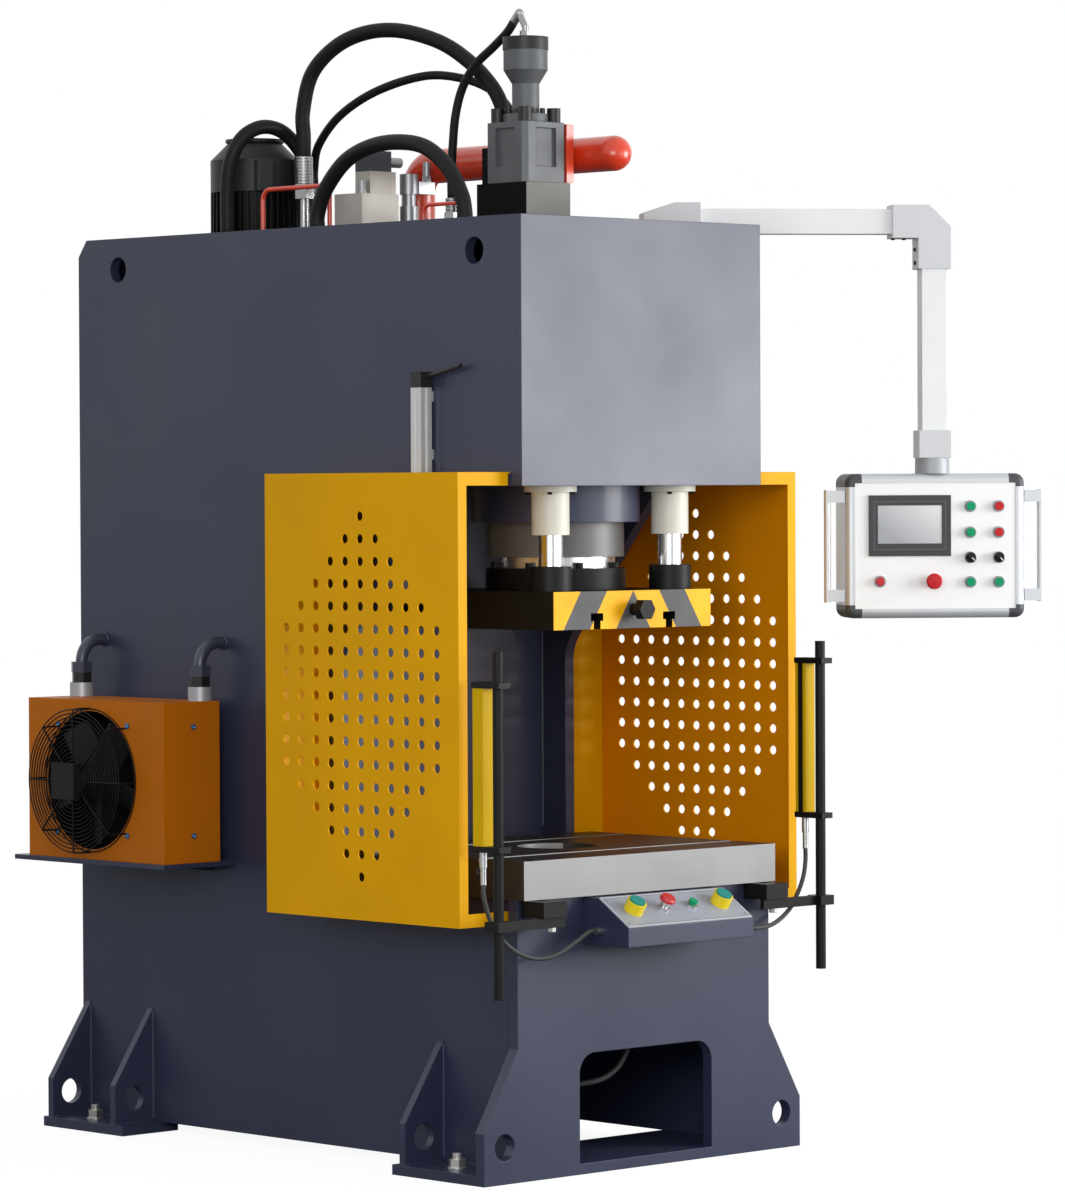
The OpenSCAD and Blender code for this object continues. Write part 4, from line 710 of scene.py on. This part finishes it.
def rod_collar(tree):
    """Black clamp collars at the feet of the guide rods."""
    collar_top = 1.4605
    return below(tree, axis_of(tree, "Z"), collar_top)


# Finishes of the record's material slots
FINISHES = {
    "frame_paint": finish("frame_paint", NAVY, 0.42, coat=0.12, mottle=0.05, mottle_scale=2.5,
                          grain_scale=210, grain=0.35, depth=0.0006, edge=0.003, sheen=0.46),
    "guard_paint": finish("guard_paint", AMBER, 0.45, mottle=0.04, grain_scale=420, grain=0.12, edge=0.0015,
                          sheen=0.1, layers=[(guard_inside, srgb(228, 142, 2), 0.45, 0.0)]),
    "machined_steel": finish("machined_steel", STEEL, 0.34, metal=0.9, mottle=0.12, mottle_scale=9,
                             grain_scale=60, grain=0.12, stretch=(0.6, 10, 10), edge=0.0015),
    "bush_metal": finish("bush_metal", CREAM, 0.45, mottle=0.04, grain_scale=40, grain=0.1,
                         stretch=(1, 1, 30), edge=0.0015),
    "valve_cast": finish("valve_cast", CAST, 0.5, metal=0.25, mottle=0.12, mottle_scale=14, grain_scale=500,
                         grain=0.4, depth=0.0006, edge=0.003, layers=[(valve_black, BLACK, 0.4, 0.2)]),
    "red_paint": finish("red_paint", RED, 0.3, coat=0.5, mottle=0.06, grain_scale=120, grain=0.08),
    "dark_paint": finish("dark_paint", MOTOR_GREY, 0.45, sheen=0.25, grain_scale=350, grain=0.2, edge=0.0015),
    "zinc": finish("zinc", srgb(156, 158, 160), 0.3, metal=0.9, mottle=0.08, mottle_scale=30,
                   grain_scale=500, grain=0.08, edge=0.001),
    "black_steel": finish("black_steel", srgb(20, 19, 19), 0.42, metal=0.05, mottle=0.15, mottle_scale=12,
                          grain_scale=240, edge=0.0015, sheen=0.14),
    "black_plastic": finish("black_plastic", srgb(24, 24, 25), 0.5, sheen=0.2, mottle=0.08, grain_scale=700,
                            edge=0.001),
    "pipe_paint": finish("pipe_paint", srgb(52, 56, 72), 0.4, coat=0.2, mottle=0.08, grain_scale=260,
                         edge=0.001, layers=[(pipe_socket, srgb(172, 176, 182), 0.4, 0.4),
                                             (pipe_hex, BLACK, 0.45, 0.2)]),
    "aluminium": finish("aluminium", SILVER, 0.36, metal=0.85, mottle=0.05, grain_scale=80, grain=0.06,
                        stretch=(8, 8, 0.5), edge=0.001),
    "bar_paint": finish("bar_paint", srgb(208, 168, 2), 0.45, sheen=0.1, mottle=0.05, grain_scale=400,
                        grain=0.08, edge=0.001, layers=[(bar_lens, srgb(36, 32, 30), 0.12, 0.0)]),
    "cable_sheath": finish("cable_sheath", srgb(66, 67, 68), 0.5, sheen=0.3, mottle=0.06, grain_scale=500,
                           grain=0.1, edge=0),
    "face_plate": finish("face_plate", srgb(158, 164, 176), 0.42, metal=0.2, mottle=0.04, grain_scale=90,
                         grain=0.05, stretch=(0.6, 10, 10), edge=0.0008,
                         layers=[(lambda t: console_edge(t, -0.001, 0.005), srgb(190, 193, 200), 0.4, 0.1),
                                 (lambda t: console_edge(t, 0.005, 0.0065), srgb(70, 74, 84), 0.4, 0.0),
                                 (ring_guard, YELLOW, 0.35, 0.0),
                                 (button_base, SILVER, 0.25, 0.9)]),
    "green_plastic": finish("green_plastic", GREEN, 0.3, coat=0.08, sheen=0.2, mottle=0.05, grain_scale=600,
                            grain=0.05, edge=0.0012),
    "red_plastic": finish("red_plastic", STOP_RED, 0.32, coat=0.08, sheen=0.2, mottle=0.05, grain_scale=600,
                          grain=0.05, edge=0.0012),
    "boom_paint": finish("boom_paint", srgb(230, 232, 233), 0.45, mottle=0.02, grain_scale=380, grain=0.08),
    "panel_white": finish("panel_white", WHITE, 0.4, mottle=0.015, grain_scale=600, grain=0.04, edge=0.0008,
                          layers=[(panel_bezel, srgb(46, 47, 50), 0.45, 0.0),
                                  (bezel_line, srgb(112, 113, 116), 0.45, 0.0),
                                  (panel_screen, srgb(163, 166, 171), 0.2, 0.0),
                                  (screen_glare, srgb(222, 224, 226), 0.2, 0.0),
                                  (panel_rings, srgb(150, 152, 156), 0.35, 0.6),
                                  (lamp_lens, STOP_RED, 0.25, 0.0)]),
    "hose_rubber": finish("hose_rubber", RUBBER, 0.5, mottle=0.12, mottle_scale=20, grain_scale=420,
                          grain=0.25, edge=0, sheen=0.18),
}
# Finishes of single nodes, which go before the finish of their slot
OWN_FINISH = {
    "table": finish("table_steel", srgb(134, 134, 134), 0.45, metal=0.5, mottle_scale=7, grain_scale=60,
                    stretch=(0.6, 10, 10), edge=0.0015,
                    layers=[(table_top, DARK_STEEL, 0.42, 0.15), (table_side, srgb(44, 43, 42), 0.5, 0.1)]),
    "platen": finish("platen_black", srgb(24, 23, 23), 0.45, metal=0.05, mottle=0.12, mottle_scale=10,
                     grain_scale=240, edge=0.0015, sheen=0.15,
                     layers=[(lambda t: platen_front(t, "yellow"), HAZARD, 0.45, 0.0),
                             (lambda t: platen_front(t, "grey"), srgb(93, 93, 93), 0.5, 0.0)]),
    "ram": finish("ram_grey", srgb(96, 95, 94), 0.45, metal=0.25, mottle=0.05, grain_scale=40, grain=0.05,
                  stretch=(1, 1, 20), edge=0.0015, layers=[(ram_neck, SILVER, 0.25, 0.9)]),
    "guide_rods": finish("rod_chrome", srgb(206, 206, 207), 0.2, metal=1.0, mottle=0.04, grain_scale=40,
                         grain=0.03, stretch=(1, 1, 20), edge=0.0015, sheen=0.2,
                         layers=[(rod_collar, BLACK, 0.45, 0.1)]),
    "console_stop": finish("stop_red", STOP_RED, 0.32, coat=0.3, mottle=0.05, grain_scale=600, grain=0.05,
                           edge=0.0012, layers=[(stop_collar, SILVER, 0.25, 0.9)]),
    "pendant_case": finish("case_aluminium", srgb(196, 199, 203), 0.42, metal=0.55, mottle=0.04,
                           grain_scale=90, grain=0.05, edge=0,
                           layers=[(case_corner, srgb(60, 63, 67), 0.5, 0.0),
                                   (case_neck, srgb(158, 162, 167), 0.45, 0.1)]),
    "position_sensor": finish("sensor_aluminium", SILVER, 0.4, metal=0.5, mottle=0.05, grain_scale=80,
                              grain=0.06, stretch=(8, 8, 0.5), edge=0.0008,
                              layers=[(sensor_cap, BLACK, 0.45, 0.0)]),
    "curtain_stands": finish("stand_black", srgb(24, 24, 24), 0.45, metal=0.05, sheen=0.16, edge=0.001,
                             layers=[(stand_plug, SILVER, 0.3, 0.9)]),
    "steel_blocks": finish("block_steel", srgb(92, 91, 88), 0.46, metal=0.55, mottle=0.16, mottle_scale=9,
                           grain_scale=60, grain=0.12, stretch=(10, 10, 0.8), edge=0.001, sheen=0.12,
                           # Painted shade: the spacer block's left side in matte near black
                           layers=[(shaded_spacer_side, srgb(8, 8, 9), 0.7, 0.0),
                                   (manifold_bright, srgb(172, 168, 161), 0.46, 0.45)]),
    "solenoid_valve": finish("valve_grey", srgb(150, 152, 155), 0.35, metal=0.75, mottle=0.08, grain=0.1,
                             edge=0.001, layers=[(valve_coil, srgb(34, 40, 50), 0.45, 0.0)]),
    "cooler_box": finish("cooler_orange", ORANGE, 0.45, mottle=0.05, mottle_scale=4, grain_scale=380,
                         # Painted shade: the cooler box's inner faces in matte near black
                         grain=0.1, sheen=0.15, layers=[(shaded_box_inside, srgb(20, 20, 21), 0.7, 0.0)]),
    "boom_elbows": finish("elbow_white", srgb(203, 205, 208), 0.45, mottle=0.02, grain_scale=380, grain=0.08),
    "motor": finish("motor_black", srgb(16, 17, 18), 0.5, sheen=0.18, grain_scale=350, grain=0.2, edge=0.001),
}
for button_side in ("left", "right"):
    OWN_FINISH[button_side + "_palm_button"] = finish(button_side + "_teal", TEAL, 0.35, mottle=0.05,
                                                      grain_scale=600, grain=0.05, edge=0.0012)


def dress_nodes():
    """Gives each CAD node its own finish, or else the one of its slot."""
    slots = {s["node"]: s["material_slot"] for s in frame["record"]["subparts"]}
    for name, obj in nodes.items():
        mat = OWN_FINISH[name] if name in OWN_FINISH else FINISHES[slots[name]]
        if not obj.material_slots:
            obj.data.materials.append(mat)
        for place in obj.material_slots:
            place.material = mat


dress_nodes()

# Hoses and cables, along the same points as the solids

ROUTES = {
    "pressure_hose": (38, (1, 0.2, 0), "stiff", [
        [-100, 1136, 2505], [-100, 1136, 2560], [-100, 1138, 2620], [-94, 1110, 2715], [-78, 1038, 2780],
        [-56, 947, 2812], [-32, 840, 2812], [-4, 721, 2777], [16, 632, 2722], [30, 568, 2660],
        [36, 538, 2610], [36, 536, 2580], [36, 536, 2560]]),
    "pilot_hose": (22, (1, 0.2, 0), "stiff", [
        [-18, 1189, 2440], [-18, 1189, 2480], [-27, 1160, 2540], [-25, 1077, 2612], [-10, 950, 2668],
        [20, 800, 2698], [45, 682, 2684], [64, 600, 2650], [74, 552, 2605], [74, 548, 2580],
        [74, 548, 2560]]),
    "drain_hose": (37, (0.15, 1, 0), "stiff", [
        [-274, 1234, 2300], [-274, 1234, 2420], [-270, 1226, 2490], [-248, 1210, 2547], [-205, 1195, 2577],
        [-155, 1188, 2579], [-108, 1184, 2557], [-72, 1170, 2505], [-62, 1166, 2435], [-62, 1166, 2360]]),
    "return_hose": (39, (1, 0, 0), "stiff", [
        [-330, 820, 2300], [-330, 820, 2335], [-330, 790, 2395], [-330, 716, 2461], [-330, 624, 2493],
        [-330, 524, 2500], [-330, 422, 2483], [-330, 340, 2430], [-330, 292, 2362], [-330, 280, 2320],
        [-330, 280, 2300]]),
    "vent_hose": (22, (1, 0.1, 0), "medium", [
        [0, 452, 2810], [-3, 474, 2784], [-8, 520, 2750], [-14, 578, 2710], [-18, 622, 2655],
        [-20, 646, 2588], [-21, 656, 2510], [-22, 660, 2440], [-22, 660, 2380]]),
    "left_cable": (11, (0.1, 1, 0.2), "medium", [
        [-551, -13, 716], [-551, -13, 690], [-535, -14, 640], [-515, -20, 604], [-488, -25, 572],
        [-446, -32, 546], [-397, -42, 534], [-344, -52, 543], [-292, -60, 570], [-252, -62, 590],
        [-230, -62, 590]]),
    "right_cable": (11, (0.1, 1, -0.2), "medium", [
        [551, -13, 746], [551, -13, 715], [541, -15, 676], [515, -20, 636], [472, -30, 597],
        [400, -46, 568], [325, -56, 562], [285, -60, 576], [252, -62, 590], [230, -62, 590]]),
    "conduit_loop": (14, (1, 0.5, 0.6), "medium", [
        [90, 50, 600], [90, 75, 600], [92, 120, 550], [92, 130, 450], [88, 135, 350], [75, 142, 270],
        [40, 155, 215], [-20, 180, 190], [-90, 240, 190], [-150, 340, 220], [-182, 480, 290],
        [-190, 620, 345], [-190, 707, 360], [-190, 737, 360]]),
}


def make_cords():
    """One smooth tube per hose or cable, in place of its plain solid."""
    for name, (width, side, stiffness, points) in ROUTES.items():
        path = smooth_path(deep(points))
        grid = closed_tube(path, width / 2 * MM, side)
        slot = "hose_rubber" if name.endswith("hose") else "cable_sheath"
        obj = link(name + "_tube", grid_mesh(name + "_tube", grid), FINISHES[slot], "frame")
        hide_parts(name)


make_cords()

# Fine pieces


def many(name, grids, material, body):
    """One piece from several closed grids; each is given with True where its rows close on themselves."""
    work = bmesh.new()
    for grid, loop in grids:
        mesh = grid_mesh(name + "_part", grid, loop)
        work.from_mesh(mesh)
        bpy.data.meshes.remove(mesh)
    whole = bpy.data.meshes.new(name)
    work.to_mesh(whole)
    work.free()
    smooth_all(whole)
    obj = link(name, whole, material, body)
    return obj


# Where the fan's axis meets the cooler's face, and the screws of the fan guard on that face
FAN = deep([-629, 1364, 914])
GUARD_SCREWS = deep([[-629, 1493, 1054], [-629, 1214, 1056], [-629, 1500, 777], [-629, 1216, 779]])


def wire_guard():
    """Round wires of the fan guard: rings about the fan axis, and spokes that bend back to the face."""
    wire = 1.7 * MM
    spoke_wire = 2.3 * MM
    stand = 55.5 * MM
    rim = 181.4 * MM
    first_ring = 171.5
    ring_step = 10
    ring_count = 13
    ring_points = 96
    cross_reach = 0.1826
    screw_gap = 9 * MM
    rings = [(rim, wire), (rim, stand)]
    rings += [((first_ring - ring_step * k) * MM, stand) for k in range(ring_count)]
    grids = [ring_grid(FAN + LEFT * height, radius, wire, ring_points) for radius, height in rings]
    quarters = np.arange(0, 2 * np.pi, np.pi / 2)
    rays = [np.array([0, math.cos(turn), math.sin(turn)]) * cross_reach for turn in quarters]
    rays += [(screw - FAN) * (1 - screw_gap / np.linalg.norm(screw - FAN)) for screw in GUARD_SCREWS]
    for ray in rays:
        far = np.linalg.norm(ray) / MM
        ray = ray / np.linalg.norm(ray)
        # Pairs of distance from the axis and height over the face, in mm
        knots = [(44, 58), (110, 58), (far - 11, 57.6), (far - 3, 54), (far, 47), (far, 2.6)]
        path = np.array([FAN + ray * r * MM + LEFT * h * MM for r, h in knots])
        grids.append((closed_tube(smooth_path(path, 6), spoke_wire, np.cross(LEFT, ray), 8), False))
    obj = many("fan_wire_guard", grids, FINISHES["black_steel"], "frame")
    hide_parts("cooler_grille")


# Radius of the head, its height and the radius of its recess, in mm
COOLER_SCREW = (7, 5, 3)
CONSOLE_SCREW = (3.6, 2, 1.6)
ELBOW_SCREW = (5, 4, 2.4)
BUSH_SCREW = (6, 6, 3)


def screw_grid(place, axis, sizes):
    """Screw head: a turned profile with a chamfered rim and a round recess; place in metres on its seat."""
    head, height, socket = sizes
    rim = height * 0.75
    floor = height * 0.35
    profile = [(0, 0), (head, 0), (head, rim), (head * 0.88, height), (socket, height),
               (socket * 0.96, floor), (0, floor)]
    return revolve_grid(profile, place, axis, 20), False


def make_screws():
    """Screw heads of the cooler, console, boom elbow and guide bushes."""
    blue = finish("screw_blue", srgb(70, 120, 170), 0.3, metal=0.6, mottle=0.08, grain_scale=500, grain=0.05,
                  edge=0)
    end = deep([[-534, 1072, 1055], [-534, 1072, 781]])
    grids = [screw_grid(p, LEFT, COOLER_SCREW) for p in GUARD_SCREWS]
    grids += [screw_grid(p, (0, -1, 0), COOLER_SCREW) for p in end]
    many("cooler_screws", grids, blue, "frame")
    plate = 3 * MM
    top = CONSOLE_ORIGIN + plate * CONSOLE_OUT
    spots = [top + np.array([x * MM, 0, 0]) + v * MM * CONSOLE_ALONG for x in (-198, 198) for v in (-47, 47)]
    grids = [screw_grid(p, CONSOLE_OUT, CONSOLE_SCREW) for p in spots]
    many("console_screws", grids, FINISHES["zinc"], "frame")
    boom_z = 2.324
    elbow_half = 42 * MM
    middle = DROP + boom_z * UP
    under = [middle - ALONG * u * MM - UP * elbow_half for u in (100, 72)]
    beside = [middle - ALONG * elbow_half - UP * z * MM for z in (70, 104)]
    grids = [screw_grid(p, -UP, ELBOW_SCREW) for p in under]
    grids += [screw_grid(p, -ALONG, ELBOW_SCREW) for p in beside]
    many("elbow_screws", grids, FINISHES["black_steel"], "boom")
    pitch = 55
    seat = 1640
    grids = []
    for x in (-204, 204):
        for y in (-196, 196):
            for turn in np.radians([45, 135, 225, 315]):
                spot = np.array([x + pitch * math.cos(turn), y + pitch * math.sin(turn), seat]) * MM
                grids.append(screw_grid(spot, -UP, BUSH_SCREW))
    many("bush_screws", grids, FINISHES["black_steel"], "frame")


def weld_grid(first, last, size):
    """Weld bead from first to last in mm: a thin tube whose radius rises and falls in even ripples."""
    step = 1.6 * MM
    ripple = 6.5 * MM
    fewest = 12
    first = np.array(first, dtype=float) * MM
    last = np.array(last, dtype=float) * MM
    length = np.linalg.norm(last - first)
    t = np.linspace(0, 1, max(fewest, int(length / step)))
    path = first + (last - first) * t[:, None]
    phase = (t * length / ripple) % 1
    radius = size * MM * (0.86 + 0.2 * np.sqrt(phase) * (1 - 0.3 * phase))
    runs_back = abs((last - first)[1]) >= 0.5 * length
    side = (1.0, 0.1, 0.3) if runs_back else (0.3, 1.0, 0.2)
    return closed_tube(path, radius, side, 8), False


def ring_weld(place, radius, size):
    """Weld bead round a pipe along X, in mm: a ring whose thickness rises and falls in even ripples."""
    steps = 64
    ripples = 16
    a = np.linspace(0, 2 * np.pi, steps, endpoint=False)
    bead = size * MM * (0.9 + 0.12 * np.sin(ripples * a))
    return ring_grid(deep(place), radius * MM, bead, steps)


def make_welds():
    """Beads where gussets, foot plates, back web and cooler pipes meet the side plates, in mm."""
    bead = 5
    plate_x = 408
    web_x = 378
    web_y = 445
    web_foot = 775
    web_top = 1640
    foot_top = 25
    foot_in = 414
    foot_out = 528
    gusset_thick = 20
    gusset_foot = 32
    gusset_top = 308
    gusset_fronts = (-27, 1079, 1334)
    foot_runs = ((-270, -34), (1108, 1326))
    pipe_x = -409
    pipe_z = 1264
    pipe_depths = (1103, 1580)
    pipe_radius = 16.5
    pipe_bead = 4
    grids = [ring_weld([pipe_x, y, pipe_z], pipe_radius, pipe_bead) for y in pipe_depths]
    for s in (-1, 1):
        grids.append(weld_grid((s * web_x, web_y, web_foot), (s * web_x, web_y, web_top), bead))
        for front in gusset_fronts:
            for y in (front, front + gusset_thick):
                grids.append(weld_grid((s * plate_x, y, gusset_foot), (s * plate_x, y, gusset_top), bead))
                grids.append(weld_grid((s * foot_in, y, foot_top), (s * foot_out, y, foot_top), bead))
        for y0, y1 in foot_runs:
            grids.append(weld_grid((s * plate_x, y0, foot_top), (s * plate_x, y1, foot_top), bead))
    many("foot_welds", grids, FINISHES["frame_paint"], "frame")


# Hose, which end of its route, and the length of the sleeve there in mm
SLEEVES = [("pressure_hose", 0, 71), ("pressure_hose", -1, 24), ("pilot_hose", 0, 50), ("pilot_hose", -1, 24),
           ("drain_hose", -1, 30), ("vent_hose", -1, 36)]


def make_ferrules():
    """Crimped sleeves over the hose ends: a turned profile whose radius ripples along the sleeve."""
    gap = 0.4
    wall = 4.1
    ripple = 0.7
    pitch = 8
    grids = []
    for name, which, length in SLEEVES:
        width, _, _, points = ROUTES[name]
        tip = np.array(points[which], dtype=float)
        before = np.array(points[1 if which == 0 else -2], dtype=float)
        ahead = (tip - before) / np.linalg.norm(tip - before)
        h = np.linspace(gap, length - gap, 60)
        r = width / 2 + wall + ripple * np.abs(np.sin(h * np.pi / pitch))
        rings = [(0, gap)] + list(zip(r, h)) + [(0, length - gap)]
        grids.append((revolve_grid(rings, deep(tip), ahead, 32), False))
    many("hose_ferrules", grids, FINISHES["zinc"], "frame")


def make_pointers():
    """White pointer line along each selector's grip: a short closed tube that leans to the lower right."""
    white = finish("pointer_white", WHITE, 0.4, mottle=0.02, grain_scale=600, grain=0.05, edge=0)
    grip_up = 0.154
    grip_out = 0.0203
    line = 1.3 * MM
    lean = (ALONG - UP) / math.sqrt(2)
    for body, u in (("left_selector_body", 0.0895), ("right_selector_body", 0.163)):
        spot = PANEL_ORIGIN + u * ALONG + grip_up * UP - grip_out * INWARD
        path = np.array([spot + lean * reach for reach in (0.0005, 0.006, 0.0118)])
        grid = closed_tube(path, line, INWARD, 10)
        many(body.replace("_body", "_mark"), [(grid, False)], white, body)


wire_guard()
make_screws()
make_welds()
make_ferrules()
make_pointers()

# Floor, backdrop and light


def make_stage():
    """Pale floor that fades into a white background: half of what the camera sees of it is its own glow."""
    half = 30.0
    gap = 0.0005
    grey = 0.22
    glow_share = 0.5
    glow_level = 1.86
    corners = np.array([[-half, -half, -gap], [half, -half, -gap], [half, half, -gap], [-half, half, -gap]])
    mesh = bpy.data.meshes.new("studio_floor")
    mesh.from_pydata(corners.tolist(), [], [[0, 1, 2, 3]])
    mat, tree, bsdf = start_material("floor_white")
    bsdf.inputs["Base Color"].default_value = (grey, grey, grey, 1)
    bsdf.inputs["Roughness"].default_value = 0.9
    bsdf.inputs["Specular IOR Level"].default_value = 0.1
    path = tree.nodes.new("ShaderNodeLightPath")
    glow = tree.nodes.new("ShaderNodeEmission")
    glow.inputs["Strength"].default_value = glow_level
    both = tree.nodes.new("ShaderNodeMixShader")
    tree.links.new(product(tree, path.outputs["Is Camera Ray"], glow_share), both.inputs[0])
    tree.links.new(bsdf.outputs[0], both.inputs[1])
    tree.links.new(glow.outputs[0], both.inputs[2])
    tree.links.new(both.outputs[0], tree.nodes["Material Output"].inputs["Surface"])
    mesh.materials.append(mat)
    floor = bpy.data.objects.new("studio_floor", mesh)
    bpy.context.scene.collection.objects.link(floor)


def make_world():
    """Even sky: white to the camera and in reflections, a plain level on the object."""
    sky_level = 0.55
    white_level = 1.0
    world = bpy.data.worlds.new("studio_sky")
    bpy.context.scene.world = world
    world.use_nodes = True
    tree = world.node_tree
    back = tree.nodes["Background"]
    path = tree.nodes.new("ShaderNodeLightPath")
    mirrored = math_node(tree, "MAXIMUM", path.outputs["Is Glossy Ray"], path.outputs["Is Transmission Ray"])
    seen = math_node(tree, "MAXIMUM", path.outputs["Is Camera Ray"], mirrored)
    back.inputs["Color"].default_value = (1, 1, 1, 1)
    tree.links.new(ranged(tree, seen, sky_level, white_level, 0.0, 1.0), back.inputs["Strength"])


def area_light(name, place, target, width, height, power):
    """Soft rectangular lamp at place, aimed at target; sizes in metres and power in watts."""
    data = bpy.data.lights.new(name, "AREA")
    data.shape = "RECTANGLE"
    data.size = width
    data.size_y = height
    data.energy = power
    lamp = bpy.data.objects.new(name, data)
    bpy.context.scene.collection.objects.link(lamp)
    back = np.array(place, dtype=float) - np.array(target, dtype=float)
    back = back / np.linalg.norm(back)
    right = np.cross(UP, back)
    right = right / np.linalg.norm(right)
    turn = np.eye(4)
    turn[:3, 0] = right
    turn[:3, 1] = np.cross(back, right)
    turn[:3, 2] = back
    turn[:3, 3] = place
    lamp.matrix_world = Matrix(turn.tolist())


make_stage()
make_world()
area_light("front_soft", (3.4, -3.9, 1.95), (0, -0.3, 1.9), width=2.6, height=2.2, power=205)
area_light("front_fill", (0.4, -5.6, 1.5), (0, 0, 1.2), width=2.6, height=2.0, power=38)
area_light("left_soft", (-4.3, -3.6, 2.2), (0, 0.3, 1.2), width=3.0, height=2.0, power=112)
bpy.context.scene.view_settings.view_transform = "Standard"
